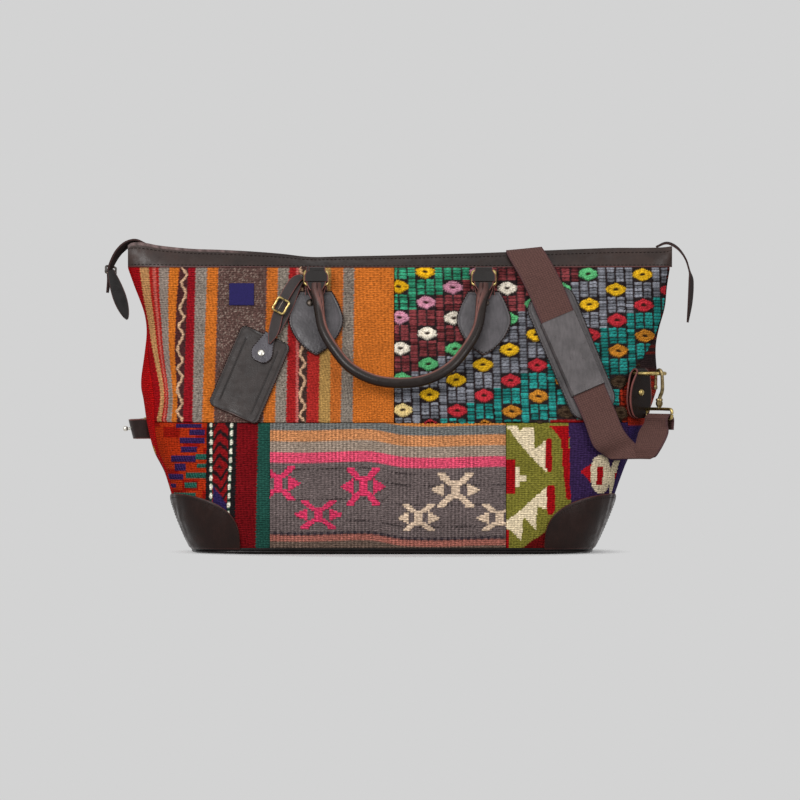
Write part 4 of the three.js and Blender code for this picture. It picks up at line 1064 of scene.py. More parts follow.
def band_threads():
    """Two rows of stitches: one under the folded edge, one over the raw foot."""
    x = np.linspace(-HALF_BAND + 4, HALF_BAND - 4, 150)
    out = np.array([0, -0.9, 0.4])
    return [thread_line(band_face(x, level, 0.1), out, 4.2, 0.36, 0.2) for level in (0.785, 0.11)]


make("front_band", [band()], band_leather, replaces=["front_top_band"])
make("back_band", [face_back(band())], band_leather, replaces=["back_top_band"])
make("band_stitches", band_threads() + [face_back(line) for line in band_threads()], thread)


# Leather patches round the lower corners

PATCH_TOP, ARCH = 62, 2.9


def corner_face(start, way):
    """Quarter disc wrapped round a lower corner, from a start turn and one way round: turn from the front to
    the end, height up a rounded arch."""
    columns, rows, lift = 90, 44, 2.8
    u = eased(columns, 0.005, 0.995)
    rise = np.maximum(0.05, (1 - np.abs(2 * u - 1) ** ARCH) ** (1 / ARCH))
    z = mix(BASE_TOP, PATCH_TOP, np.linspace(0, 1, rows)[:, None] * rise[None])
    turn = mix(turn_at(lean(z) + 157.5, z), seam_turn(30, z), u[None])
    crease = 0.35 * np.sin(u * 46 + z * 0.09) * np.exp(-((u - 0.55) / 0.16) ** 2) * ramp(8, 30, z)
    return bag_side(start + way * turn, z, lift + crease)


def corner_edge(points, out, inner):
    """The arched edge of the patch, moved in by a distance, with the outward direction."""
    height = points[-1, :, 2] - points[0, :, 2]
    level = np.clip(1 - inner / np.maximum(height, 1), 0.05, 1)
    rows = np.clip((level * (points.shape[0] - 1)).astype(int), 0, points.shape[0] - 1)
    keep = np.where(height > inner + 6)[0]
    return points[rows[keep], keep], out[rows[keep], keep]


for name, start, way in (("front_right", 0, 1), ("front_left", 0, -1), ("back_left", math.pi, 1),
                         ("back_right", math.pi, -1)):
    face = corner_face(start, way)[:, ::way]
    sewing = corner_edge(face, normals(face), 3.4)
    make(name + "_patch", [hide(face, 2.4, CHOCOLATE, edge="#4d2622", ease=1.3)], patch_leather,
         replaces=[name + "_corner_patch"])
    make(name + "_patch_stitches", [thread_line(*sewing, 3.6, 0.34, 0.06, "#170e0c")], thread)


# Handle pads, rings and rolled handles

BAR_Y, BAR_Z, TILT, RING_X = -40.79, 295.0, math.radians(29), 88
PAD_POINT, PAD_TALL = 208, 66
NECK_WRAP, RING_HALF, RING_CORNER, RING_DROP, RING_RADIUS = 2.4, 9.2, 2.5, 13.5, 1.9
FRONT_WAY = np.array([0, -math.cos(TILT), math.sin(TILT)])
shield = profile([[0, 1], [7, 12], [20, 23], [35, 28.5], [50, 25], [66, 17]])


def handle_plane(x, down, off=0.0):
    """Point in the tilted plane of the front handle: down from the bar and off its face."""
    y = BAR_Y - down * math.sin(TILT) - off * math.cos(TILT)
    z = BAR_Z - down * math.cos(TILT) + off * math.sin(TILT)
    return together(x, y, z).astype(float)


def pad_face(x):
    """Shield: half width by height over its point, laid on the cloth and smoothed at the corners."""
    columns, rows, lift = 44, 56, 4.1
    up = eased(rows, 0.01, 1) * PAD_TALL
    half = np.maximum(shield(up), 0.6)
    across = both_ways(columns)
    z = PAD_POINT + up[:, None] + 0 * across[None]
    spot = x + half[:, None] * across[None]
    return front(spot, z, lift)


NECK = "#140e0c"


def handle_neck(x):
    """Strap from the pad, over the bar of the ring and down its front."""
    turn = np.linspace(0.2, math.pi, 7)
    over = together(x, BAR_Y + NECK_WRAP * np.cos(turn), BAR_Z + NECK_WRAP * np.sin(turn))
    path = np.vstack([front(x, 270, 3.9), front(x, 284, 4.5), over,
                      handle_plane(x, 7, 2.5), handle_plane(x, 14.4, 2.8)])
    widths = [12, 11.2] + [9.6] * 7 + [12.4, 12.6]
    return strap(level_stations(path, (1, 0, 0), widths), 2.0, 50, NECK)


def ring_wire(x):
    """Rounded oblong of wire in the plane of the handle."""
    corner = np.array([(1, 0, -1), (1, 1, 0), (-1, 1, 1), (-1, 0, 2)], float)
    turn = (corner[:, 2:] + np.linspace(0, 1, 6)[None]) * math.pi / 2
    across = x + corner[:, :1] * RING_HALF + RING_CORNER * np.cos(turn)
    down = mix(RING_CORNER, RING_DROP, corner[:, 1:2]) + RING_CORNER * np.sin(turn)
    return wire(handle_plane(across.ravel(), down.ravel()), RING_RADIUS, 96, closed=True)


def handle_loop(x):
    """Leather loop of the handle round the foot of the ring, as wide as the ring there and narrowing down to
    the roll."""
    turn = np.linspace(0, math.pi, 9)
    fold = handle_plane(x, 16 - NECK_WRAP * np.sin(turn), -NECK_WRAP * np.cos(turn))
    path = np.vstack([handle_plane(x, 31, -2.6), handle_plane(x, 24, -2.4), fold,
                      handle_plane(x, 20, 2.4), handle_plane(x, 24, 1.6)])
    widths = [5.6, 8.6] + [10.3] * 9 + [8.8, 6.2]
    return strap(level_stations(path, (1, 0, 0), widths), 2.0, 60, NECK)


def rolled_handle():
    """Leather rolled round a cord: round section, flatter at the rings, with its raw edges meeting inside."""
    leg = np.array([[RING_X, 16.5], [87.7, 24], [86, 33], [81, 68.5], [68, 94.5], [51, 116], [26, 130],
                    [0, 133.5]])
    both, count = np.vstack([leg * (-1, 1), leg[-2::-1]]), 170
    path = smooth_path(handle_plane(both[:, 0], both[:, 1]), count)
    at = np.linspace(0, 1, count)
    end = 1 - ramp(0.0, 0.13, np.minimum(at, 1 - at))[:, None]
    turn = np.linspace(0, math.tau, 40, endpoint=False)[None]
    seam_at = mix(math.radians(-42), math.radians(-8), end)
    away = np.abs((turn - seam_at + math.pi) % math.tau - math.pi)
    lip = np.exp(-(away / mix(0.27, 1.0, end)) ** 4)
    slit = np.exp(-(away / 0.06) ** 2)
    radius = 5.4 + 0.8 * lip - 0.9 * slit - 0.5 * end * lip
    section = together(np.cos(turn) * radius * mix(1, 1.1, end), np.sin(turn) * radius * mix(1, 1.3, end))
    raw = mix(hex_colour("#8f5d54"), hex_colour("#4e332e"), end[..., None])
    tint = mix(hex_colour("#1d120d"), raw, (lip * 0.95)[..., None])
    tint = mix(tint, hex_colour("#2d1b1a"), slit[..., None])
    return sweep(path, FRONT_WAY, section, tint=tint)


def dome(radius, height, foot, way):
    """Rivet head: a quarter ellipse spun round, on a short rim."""
    a = np.linspace(0, math.pi / 2 * 0.97, 8)
    outline = np.vstack([[[radius * 0.96, -0.8]], together(radius * np.cos(a), height * np.sin(a))])
    return turned(outline, foot, way)


rolled = rolled_handle()
for side, other, x, rivet_x, tone in (("left", "right", -RING_X, -94.2, GREY),
                                      ("right", "left", RING_X, 89.6, "#4e4a4d")):
    face = pad_face(x)
    pad = hide(face, 2.3, tone, edge="#42302d", ease=1.9, crown=0.7, groove=3.2)
    line = thread_line(*inset(face, 3.2), 3.4, 0.5, 0.45, "#120d0d")
    neck = handle_neck(x)
    rivet = dome(4.3, 2.4, front(rivet_x, 262, 4.4), FRONT_WAY)
    for name, place in (("front_" + side, as_made), ("back_" + other, turn_round)):
        make(name + "_pad", [place(pad)], pad_leather, slot="grey_leather", replaces=[name + "_handle_pad"])
        make(name + "_neck", [place(neck)], handle_leather)
        make(name + "_pad_stitches", [place(line)], thread)
        make(name + "_rivet", [place(rivet)], dark_metal, slot="antique_brass",
             replaces=[name + "_pad_rivet"])
        make(name + "_ring_wire", [place(ring_wire(x))], brass, body=name.split("_")[0] + "_handle",
             slot="antique_brass", replaces=[name + "_ring"])
for name, place in (("front_handle", as_made), ("back_handle", turn_round)):
    parts = [rolled, handle_loop(-RING_X), handle_loop(RING_X)]
    make(name + "_rolled", [place(part) for part in parts], handle_leather, body=name, replaces=[name])


# Rings, hooks and studs on both ends

D_WIRE, D_REACH, D_FLAT = 1.75, 23.0, 5
HOOK_WIRE, HOOK_LENGTH = 1.7, 37.4
LOOP_WIRE, LOOP_DROP, LOOP_HALF, LOOP_CORNER = 1.7, 9.5, 19, 2.5
TAB_WRAP, TAB_SHIFT = D_WIRE + 1.9, 4
RIGHT_FOOT = front(250.0, 166.0)
RIGHT_OUT = unit(np.array([0.65, -0.76, 0]))
RIGHT_ACROSS = unit(np.array([0.76, 0.65, 0]))
RIGHT_BAR = RIGHT_FOOT + RIGHT_OUT * 7 + RIGHT_ACROSS * 3 + (0, 0, 22)
RIGHT_WIDE = unit(np.array([0.6, -0.8, 0]))
RIGHT_WIRE = RIGHT_BAR + RIGHT_OUT * D_REACH
DOWN = np.array([0, 0, -1.0])
LEFT_FACE, LEFT_Z = -257.0, 129.0
LEFT_UP = unit(np.array([-0.25, 0, 1]))
LEFT_REACH = unit(np.array([0.22, 0.975, 0]))
LEFT_AXIS = unit(np.array([0.55, 0.83, -0.1]))
LEFT_SIDE = unit(np.array([0.83, -0.55, 0]))


def left_at(out, y):
    """Point standing off the left end of the bag at the height of its tab."""
    return np.array([LEFT_FACE - out, y, LEFT_Z])


def right_at(up, out):
    """Point on the right tab: up from its foot, out from the cloth."""
    return RIGHT_FOOT + RIGHT_OUT * out + (0, 0, up)


LEFT_BAR = left_at(11, 34)
LEFT_WIRE = LEFT_BAR + LEFT_REACH * D_REACH
LEFT_LOOP = LEFT_WIRE + LEFT_AXIS * (HOOK_LENGTH + LOOP_DROP)
RIGHT_LOOP = RIGHT_WIRE + DOWN * (HOOK_LENGTH + LOOP_DROP)


def spread_points(middle, first, second, pairs):
    """Points from pairs of distances along two directions."""
    pairs = np.array(pairs, float)
    return middle + pairs[:, :1] * first + pairs[:, 1:] * second


def d_ring(bar, bar_way, reach_way, wide, radius):
    """Straight bar with a half round reaching out from it."""
    a = np.linspace(0, math.pi, 9)
    arc = together(wide * np.cos(a), D_FLAT + (D_REACH - D_FLAT) * np.sin(a))
    pairs = np.vstack([[[-wide / 2, 0], [wide / 2, 0], [wide - 2, 0.6]], arc, [[2 - wide, 0.6]]])
    return wire(spread_points(bar, bar_way, reach_way, pairs), radius, 90, closed=True)


def snap_hook(wire_at, axis, side):
    """Bent hook on a turned barrel with a collar, the swivel of a bolt snap."""
    bend, count = D_WIRE + HOOK_WIRE + 0.5, 70
    a = np.array([0.7, 1.3, 1.9, 2.5])
    shank, tip = [[28, 0], [24, 1.5], [18, 4.6], [7, 4.8], [0, bend]], [[0, -bend - 0.6], [4.5, -5.4]]
    pairs = np.vstack([shank, together(-bend * np.sin(a), bend * np.cos(a)), tip])
    radii = mix(2.1, 1.5, np.linspace(0, 1, count))
    hook = wire(spread_points(wire_at, axis, side, pairs), HOOK_WIRE, count, radii=radii)
    outline = [(1.2, 0), (3.2, 0.2), (3.7, 0.9), (3.7, 2.4), (3.2, 2.8), (3.2, 3.4), (3.7, 3.8), (3.7, 6.4),
               (3.3, 7.2), (2.4, 9), (1.6, 9.3)]
    barrel = turned(outline, wire_at + axis * 26, axis)
    eye = turned([(1.5, 0), (1.7, 0.3), (1.7, 3.4), (1.3, 3.8)], wire_at + axis * 34.2, axis, 16)
    return [hook, barrel, eye]


def hook_trigger(wire_at, axis, side):
    """Sliding bolt with its thumb knob."""
    outline = [(0.8, 0), (1.2, 0.4), (1.2, 7), (1.7, 7.4), (2.1, 8.2), (2.1, 10.8), (1.7, 11.6), (0.8, 12)]
    return [turned(outline, wire_at + axis * 4.9 - side * 5.8, axis, 18)]


def web_loop(wire_at, axis, wide):
    """Oblong wire loop that carries the webbing."""
    turn = (np.arange(4)[:, None] - 1 + np.linspace(0, 1, 5)[None]) * math.pi / 2
    corner = np.array([(1, 0), (1, 1), (-1, 1), (-1, 0)], float)
    pairs = together(corner[:, :1] * LOOP_HALF + LOOP_CORNER * np.cos(turn),
                     mix(LOOP_CORNER, LOOP_DROP - LOOP_CORNER, corner[:, 1:]) + LOOP_CORNER * np.sin(turn))
    points = spread_points(wire_at + axis * HOOK_LENGTH, wide, axis, pairs.reshape(-1, 2))
    return [wire(points, LOOP_WIRE, 100, closed=True)]


def right_tab():
    """Folded leather: up the cloth, round the bar of the ring and down again, waisted at the fold, with round
    ends."""
    path = [right_at(up, 4.4) for up in (-25, -22, -8, 10)]
    for a in np.linspace(0, math.pi, 7):
        path.append(right_at(22 + TAB_WRAP * math.sin(a), 7 - TAB_WRAP * math.cos(a)))
    path += [right_at(10, 8.2), right_at(-8, 7.2), right_at(-22, 7.2), right_at(-25, 7.2)]
    half = [5, 10.5, 15, 13.5, 9.5, 8, 7.6]
    path = np.array(path) - RIGHT_ACROSS * TAB_SHIFT
    stations = level_stations(path, RIGHT_ACROSS, half + [7.6] + half[::-1])
    return strap(stations, 2.0, 90, "#190f0c", "#74443f", ease=0.9)


def left_tab():
    """Leather loop standing off the left end and holding its ring at the back."""
    path = [left_at(4, -9), left_at(11, -10.5), left_at(20, -9.5), left_at(24, -4), left_at(24, 8),
            left_at(18, 23)]
    for a in np.linspace(0.3, math.pi - 0.3, 6):
        path.append(left_at(11 + TAB_WRAP * math.cos(a), 34 + TAB_WRAP * math.sin(a)))
    path += [left_at(6.2, 24), left_at(6.2, 14), left_at(6.2, 4)]
    return strap(level_stations(path, -LEFT_UP, [10.5] * len(path)), 2.0, 100, "#2c1f1d", "#7a4a44")


make("right_tab", [right_tab()], patch_leather, replaces=["right_end_tab"])
make("left_tab", [left_tab()], patch_leather, replaces=["left_end_tab"])
right_stud = dome(3.7, 2.4, right_at(2, 9.4) - RIGHT_ACROSS * TAB_SHIFT, RIGHT_OUT)
left_stud = turned([(1.1, 0), (1.5, 0.1), (1.5, 2.4), (2.2, 3), (2.7, 4), (2.7, 5.6), (2.2, 6.8), (1, 7.5)],
                   left_at(27.2, 2), (-1, 0, 0))
make("right_stud", [right_stud], brass, slot="antique_brass", replaces=["right_tab_stud"])
make("left_stud", [left_stud], nickel, slot="antique_brass", replaces=["left_tab_stud"])
right_ring = d_ring(RIGHT_BAR, unit(np.array([0.95, 0.31, 0])), RIGHT_OUT, 14, 2.0)
left_ring = d_ring(LEFT_BAR, LEFT_UP, LEFT_REACH, 10, D_WIRE)
for side, ring, wire_at, axis, sideways, wide in (
        ("right", right_ring, RIGHT_WIRE, DOWN, RIGHT_OUT, RIGHT_WIDE),
        ("left", left_ring, LEFT_WIRE, LEFT_AXIS, LEFT_SIDE, -DOWN)):
    for name, grids, metal_kind, body, solid in (
            ("_ring_wire", [ring], brass, "bag", "_d_ring"),
            ("_snap_hook", snap_hook(wire_at, axis, sideways), bronze, "bag", "_hook"),
            ("_bolt", hook_trigger(wire_at, axis, sideways), bronze, side + "_trigger", "_hook_trigger"),
            ("_loop_wire", web_loop(wire_at, axis, wide), brass, "bag", "_web_loop")):
        make(side + name, grids, metal_kind, body=body, slot="antique_brass", replaces=[side + solid])


# Shoulder strap: webbing, the leather shoulder pad under it and the keeper over it

WEB, WEB_HALF, WEB_THICK = "#5d413c", 19.0, 2.2
RIGHT_FACE = unit(np.array([-0.8, -0.6, 0]))
WEB_WRAP, RUN_LIFT = 2.7, 3.1
PAD_TOP, PAD_FOOT = np.array([152.0, 276.0]), np.array([208.0, 142.0])


def run_way(share):
    """Direction across the strap on the front of the bag."""
    share = np.asarray(share, float)
    return unit(together(0.922, mix(0.215, 0.44, share), 0.386))


def on_run(share, off):
    """Point on the line of the strap down the front, off the cloth along its own face."""
    def place(at):
        spot = PAD_TOP + (PAD_FOOT - PAD_TOP) * np.asarray(at, float)[..., None]
        return front(spot[..., 0], spot[..., 1], 1.9)
    share = np.asarray(share, float)
    travel = place(share + 0.05) - place(share - 0.05)
    return place(share) + unit(np.cross(travel, run_way(share))) * np.asarray(off, float)[..., None]


def back(x, z, lift):
    """Point on the back of the bag straight behind x, z."""
    return front(x, z, lift) * (1, -1, 1)


def tape_stations():
    """Route of the webbing: left loop, hanging behind the bag, over the mouth and down the front."""
    stations = [(LEFT_LOOP + LEFT_AXIS * 14 + LEFT_SIDE * WEB_WRAP, DOWN),
                (LEFT_LOOP + LEFT_AXIS * 4 + LEFT_SIDE * WEB_WRAP, DOWN)]
    for a in np.linspace(0, math.pi, 5):
        round_loop = LEFT_SIDE * WEB_WRAP * math.cos(a) - LEFT_AXIS * WEB_WRAP * math.sin(a)
        stations.append((LEFT_LOOP + round_loop, DOWN))
    stations.append((LEFT_LOOP + LEFT_AXIS * 14 - LEFT_SIDE * 3.7, DOWN))
    stations += [(back(-188, 112, 10), (-0.2, 0.4, -0.9)), (back(-120, 90, 14), (-0.15, 0.6, -0.8)),
                 (back(-40, 74, 18), (0, 0.75, -0.65)), (back(40, 76, 19), (0.2, 0.75, -0.6)),
                 (back(100, 104, 17), (0.7, 0.5, -0.45)), (back(126, 150, 9), (0.98, 0.1, -0.1))]
    stations += [(back(129, z, 6), (1, -0.1, 0)) for z in (205, 255, 297)]
    for y, z in ((13, 315.4), (0, 316.4), (-13, 315.4)):
        stations.append((np.array([131.0, y, z]), (0.994, 0, 0.1)))
    stations.append((front(142, 297, 5), (0.94, 0.2, 0.3)))
    stations += [(on_run(share, RUN_LIFT), run_way(share)) for share in np.linspace(0, 0.6, 4)]
    return [(point, way, WEB_HALF) for point, way in stations]


FOLD_Y = front(228, 101, 15)[1]
FOLD_WAY = unit(np.array([0.72, -0.69, 0]))


def at_fold(x, y, z):
    """Point by the fold at the foot of the strap."""
    return np.array([x, FOLD_Y + y, z])


def foot_stations():
    """The webbing from under the keeper down to the fold, turning level as it gets there."""
    stations = [(on_run(share, RUN_LIFT), run_way(share), WEB_HALF) for share in np.linspace(0.5, 1, 4)]
    return stations + [(front(219, 119, 11), (0.922, 0.3, 0.386), WEB_HALF),
                       (at_fold(230, 0, 108.5), (0.95, 0.1, 0.22), 19.2),
                       (at_fold(236, -2, 102), (0.98, -0.15, 0.1), 19.3),
                       (at_fold(239.5, -4, 98.6), (0.985, -0.17, 0.02), 19.3)]


def rising_stations():
    """The webbing from the fold, in front of itself, up to the right loop, round it and down behind."""
    stations = [(at_fold(255, -6.8, 103), FOLD_WAY, 17.5), (at_fold(253.6, -7.6, 100.4), FOLD_WAY, 16),
                (at_fold(251.4, -9.4, 98.8), FOLD_WAY, 14.6), (at_fold(252, -11.6, 100.2), FOLD_WAY, 16.4),
                (at_fold(254, -12.8, 103), FOLD_WAY, 18.6), (at_fold(259, -14, 112), FOLD_WAY, 19.2),
                (RIGHT_LOOP + (-6.4, -9, -13), (0.77, -0.64, 0), 19.6)]
    return stations + [(RIGHT_LOOP + RIGHT_FACE * out + (0, 0, z), RIGHT_WIDE, WEB_HALF)
                       for out, z in ((5.4, -4), (4.6, 1), (0, 4.9), (-4.9, 1), (-4.9, -12))]


def pad_grid(low, high, half, lift, columns, rows, rounded):
    """Leather along the run of the strap: across by its half width, rounded at its ends, on the strap's own
    face and lifted off it by the distance across."""
    share = mix(low, high, eased(rows))
    to_end = np.clip(np.abs(2 * (share - low) / (high - low) - 1) * 4 - 3, 0, 1)
    narrow = np.sqrt(np.clip(1 - to_end ** 2, 0.02, 1)) if rounded else np.ones(rows)
    across = both_ways(columns)
    middle = on_run(share, np.zeros(rows))
    way = run_way(share)
    out = unit(np.cross(np.gradient(middle, axis=0), way))
    points = middle[:, None] + way[:, None] * (narrow[:, None] * across[None] * half)[..., None]
    points = points + out[:, None] * lift(across * half)[None, :, None]
    return points[::-1]


def pad_lift(across):
    """Shoulder pad under the webbing: a little lower towards both edges."""
    return 2.5 - 0.5 * ramp(15, 26, np.abs(across))


def keeper_lift(across):
    """Keeper over the webbing: level across it, down to the pad past both edges."""
    return mix(3.0, 7.2, 1 - ramp(18.6, 20.6, np.abs(across)))


tape = []
for route, count, square in ((tape_stations(), 400, True), (foot_stations(), 60, False),
                             (rising_stations(), 90, False)):
    tape.append(strap(route, WEB_THICK, count, WEB, edge="#54393a", ease=0.7, square=square))
make("webbing", tape, webbing, slot="webbing", replaces=["shoulder_strap"])
pad_points = pad_grid(0.0, 1.0, 27.0, pad_lift, 60, 110, rounded=True)
pad = hide(pad_points, 2.2, "#4a4546", edge="#2f2829", ease=1.9, groove=3.2)
shoulder = make("shoulder_pad_leather", [pad], pad_leather, slot="grey_leather", replaces=["shoulder_pad"])
make("shoulder_pad_stitches", [thread_line(*inset(pad_points, 3.2), 3.6, 0.4, code="#2a2324")], thread)
keeper = hide(pad_grid(0.23, 0.8, 20.6, keeper_lift, 44, 60, rounded=False), 1.6, "#544f50",
              edge="#332c2d", ease=1.3)
make("keeper", [keeper], pad_leather, slot="grey_leather", replaces=["pad_keeper"])


# Luggage tag on a buckled strap

TAG_MIDDLE = np.array([-157.8, 187.2])
TAG_UP, TAG_ACROSS = np.array([0.393, 0.919]), np.array([0.919, -0.393])
TAG_TALL, TAG_HALF, TAG_CORNER, SLIT_AT = 45, 28, 6, 18.2


def on_tag(across, up, lift):
    """Point over the front by distances across and up the tag."""
    across, up = np.asarray(across, float)[..., None], np.asarray(up, float)[..., None]
    spot = TAG_MIDDLE + across * TAG_ACROSS + up * TAG_UP
    return front(spot[..., 0], spot[..., 1], lift)


def tag_face():
    """Oblong with rounded corners and two slits along its long sides: its points, and where the slits are."""
    columns, rows, lift = 70, 110, 3.8
    up = both_ways(rows) * TAG_TALL
    into = np.maximum(0, TAG_CORNER - (TAG_TALL - np.abs(up)))
    half = TAG_HALF - (TAG_CORNER - np.sqrt(np.maximum(0, TAG_CORNER ** 2 - into ** 2)))
    across = both_ways(columns)[None] * half[:, None]
    up = up[:, None] + 0 * across
    window = ramp(-39, -36, up) * (1 - ramp(33, 36, up))
    slit = np.exp(-((np.abs(across) - SLIT_AT) / 0.5) ** 2) * window
    return on_tag(across, up, lift) + slit[..., None] * (0, 0.5, 0), slit


def tag_leather():
    """The tag's grid with painted shade in its slits and a brown raw edge."""
    face, slit = tag_face()
    grid = hide(face, 2.8, "#2c2422", edge="#4a3632", ease=1.5, groove=2.8)
    # Painted shade: the slits darkened almost to black.
    tint = mix(grid.tint, hex_colour("#0c0909"), bordered(slit[..., None]) * 0.85)
    return Grid(grid.points, tint, ring=True, caps=True)


chape_half = profile([[16, 4], [19, 9], [26, 11.5], [36, 9], [48, 5.4]])


def chape_face():
    """Leaf of leather that holds the strap on the tag: half width by height, over the tag."""
    up = mix(16.2, 48, eased(40))
    across = both_ways(26)[None] * chape_half(up)[:, None]
    return on_tag(3 + across, up[:, None] + 0 * across, 5.9)


def tag_strap():
    """Narrow strap: up behind the buckle, round the bar of the ring and back down to a pointed end."""
    slant, turned_way, level = (0.88, -0.2, -0.47), (0.95, -0.1, -0.2), (1, 0, 0)
    stations = [(front(-131, 231, 5), slant, 5.0), (front(-117.5, 257, 5.4), slant, 5.0),
                (handle_plane(-107, 11, -5.2), slant, 4.6), (handle_plane(-99.5, 3.5, -4.6), turned_way, 2.4)]
    for a in np.linspace(0, 1.4 * math.pi, 7):
        stations.append((handle_plane(-97, -2.8 * math.sin(a), -2.8 * math.cos(a)), level, 1.8))
    stations += [(handle_plane(-101, 4, -3.9), turned_way, 2.6), (handle_plane(-109.5, 9, -3.9), slant, 5.0),
                 (front(-125, 259, 6.6), slant, 5.2), (front(-133, 230, 7.0), slant, 5.2),
                 (front(-137, 219, 7.0), slant, 1.2)]
    return strap(stations, 1.9, 150, "#2e2625", "#6d3f3b")


BUCKLE_UP = unit(np.array([0.49, 0.2, 0.85]))
BUCKLE_ACROSS = unit(np.array([0.88, -0.2, -0.47]))
BUCKLE_OUT = unit(np.cross(BUCKLE_ACROSS, BUCKLE_UP))
BUCKLE_MIDDLE = front(-125, 259, 11.8)


def buckle_wire():
    """Oblong frame of wire with round corners."""
    right = [(5.2, -7.2), (6.4, -6), (6.4, 0), (6.4, 6), (5.2, 7.2)]
    pairs = right[1:] + [(0, 7.2)] + [(-across, up) for across, up in right[::-1]] + [(0, -7.2), right[0]]
    return wire(spread_points(BUCKLE_MIDDLE, BUCKLE_ACROSS, BUCKLE_UP, pairs), 1.25, 72, 8, closed=True)


def buckle_prong():
    """Straight pin across the buckle."""
    middle = BUCKLE_MIDDLE + BUCKLE_OUT * 2.1
    pairs = [(0, -7.6), (0, -2), (0, 3), (0, 7.6)]
    return wire(spread_points(middle, BUCKLE_ACROSS, BUCKLE_UP, pairs), 0.6, 16, 8)


chape = hide(chape_face(), 2.0, "#47434a", edge="#3a2d2c", ease=0.9)
snap = dome(3.9, 1.8, on_tag(2.4, 25.5, 6.2), FRONT_WAY)
make("tag_leather", [tag_leather()], band_leather, slot="grey_leather", replaces=["tag_body"])
make("tag_stitches", [thread_line(*inset(tag_face()[0], 2.6), 3.2, 0.36, code="#171112")], thread)
make("tag_chape_leather", [chape], pad_leather, slot="grey_leather", replaces=["tag_chape"])
make("tag_chape_stitches", [thread_line(*inset(chape_face(), 2.2), 2.8, 0.32)], thread)
make("tag_snap_cap", [snap], nickel, slot="nickel", replaces=["tag_snap"])
make("tag_strap_leather", [tag_strap()], band_leather, replaces=["tag_strap"])
make("tag_buckle_wire", [buckle_wire()], brass, slot="antique_brass", replaces=["tag_buckle"])
make("tag_buckle_prong", [buckle_prong()], dark_metal, slot="antique_brass", replaces=["tag_prong"])


# Plain woven label

LABEL_LEFT, LABEL_RIGHT, LABEL_FOOT, LABEL_TOP = -179.5, -153.5, 259.5, 282.5


def label_face():
    """Small oblong of ribbed cloth, a little wavy at its cut ends."""
    x = np.linspace(LABEL_LEFT, LABEL_RIGHT, 40)[None]
    z = np.linspace(LABEL_FOOT, LABEL_TOP, 36)[:, None]
    wave = 0.35 * np.sin(x * 1.1) * np.exp(-np.minimum(z - LABEL_FOOT, LABEL_TOP - z) / 2)
    return front(x, z + wave * 0.6, 1.5 + wave * 0.4)


label = hide(label_face(), 0.9, "#251f56", edge="#1c184a", ease=0.5)
label.cloth = bordered(arc_lengths(label_face()))
make("label", [label], label_cloth, slot="blue_cloth", replaces=["blue_label"])


# Zip: tape, two rows of teeth, tails, slider and pull

TAPE_HALF, TEETH_HALF, TOOTH_PITCH = 282, 278, 3.0


def zip_line(x):
    """Height of the top of the zip tape under the mouth."""
    return top_edge(x) - 3.0


def tape_strip():
    """Flat tape between the bands, a little hollow in the middle."""
    x = np.linspace(-TAPE_HALF, TAPE_HALF, 120)[:, None]
    share = np.linspace(-1, 1, 9)[None]
    half = mouth_gap(x) - 3.5
    top = together(x, share * half, zip_line(x) - 0.4 * (1 - share ** 2))
    under = together(x, share[:, ::-1] * half, zip_line(x) - 1.6)
    return Grid(np.concatenate([top, under], axis=1), hex_colour("#2b2423"), ring=True, caps=True, flip=True)


def zip_teeth(side):
    """One row of teeth: a bar along the tape whose width and height step up at each tooth, set between the
    teeth of the other row."""
    start = np.arange(int(2 * TEETH_HALF / TOOTH_PITCH)) * TOOTH_PITCH - TEETH_HALF
    at = start[:, None] + np.array([0.0, 0.15, 1.35, 1.5]) + (0 if side < 0 else TOOTH_PITCH / 2)
    x = at.reshape(-1)
    tooth = np.tile([0, 1, 1, 0], len(at))
    inner = mix(0.6, -0.5, tooth) * side
    outer = np.minimum(2.6, mouth_gap(x) - 3.6) * side
    low = zip_line(x) + 0.05
    high = low + mix(0.5, 1.9, tooth)
    near, far = np.minimum(inner, outer), np.maximum(inner, outer)
    section = [(near, low), (far, low), (far, high), (near, high)]
    return Grid(np.stack([together(x, y, z) for y, z in section], axis=1), ring=True, caps=True)


def tail(points, ways, widths, thick):
    """Covered end of the zip tape."""
    stations = [(np.array(point, float), way, half) for point, way, half in zip(points, ways, widths)]
    return strap(stations, thick, 70, "#241a19", "#3d2b29")


def left_tail():
    """From the mouth up over the corner of the band, out and down to the slider."""
    path = [(-266, 0, 321.6), (-278, 0, 325.4), (-287, 0, 322.2), (-295.5, 0, 314.6), (-301, 0, 305.5),
            (-304.6, 0, 296), (-305.5, 0, 285), (-307, 0, 272)]
    ways = [(0, -1, 0), (-0.2, -1, 0.5), (-0.4, -0.85, 0.5), (-0.5, -0.85, 0.35), (-0.5, -0.9, 0.1),
            (-0.45, -1, 0), (-0.3, -1, 0), (-0.2, -1, 0)]
    return tail(path, ways, [1.6, 4, 5.6, 5.6, 5.4, 5, 4, 2.6], 2.2)


def right_tail():
    """From the mouth out, down and into a narrow leaf seen edge on."""
    path = [(270, 0, 319.5), (281, 0, 323.6), (291, 0, 319), (299.6, 0, 308), (303.6, 0, 296),
            (305.4, 0, 288), (305.6, 0, 280), (304.6, 0, 262), (302, 0, 241)]
    ways = [(0, 1, 0.2)] * 3 + [(0.05, 1, 0)] * 2 + [(0.27, 1, 0)] * 4
    return tail(path, ways, [1.5, 3.4, 4.6, 4.2, 2.4, 6.5, 8.5, 7.5, 1.2], 1.9)


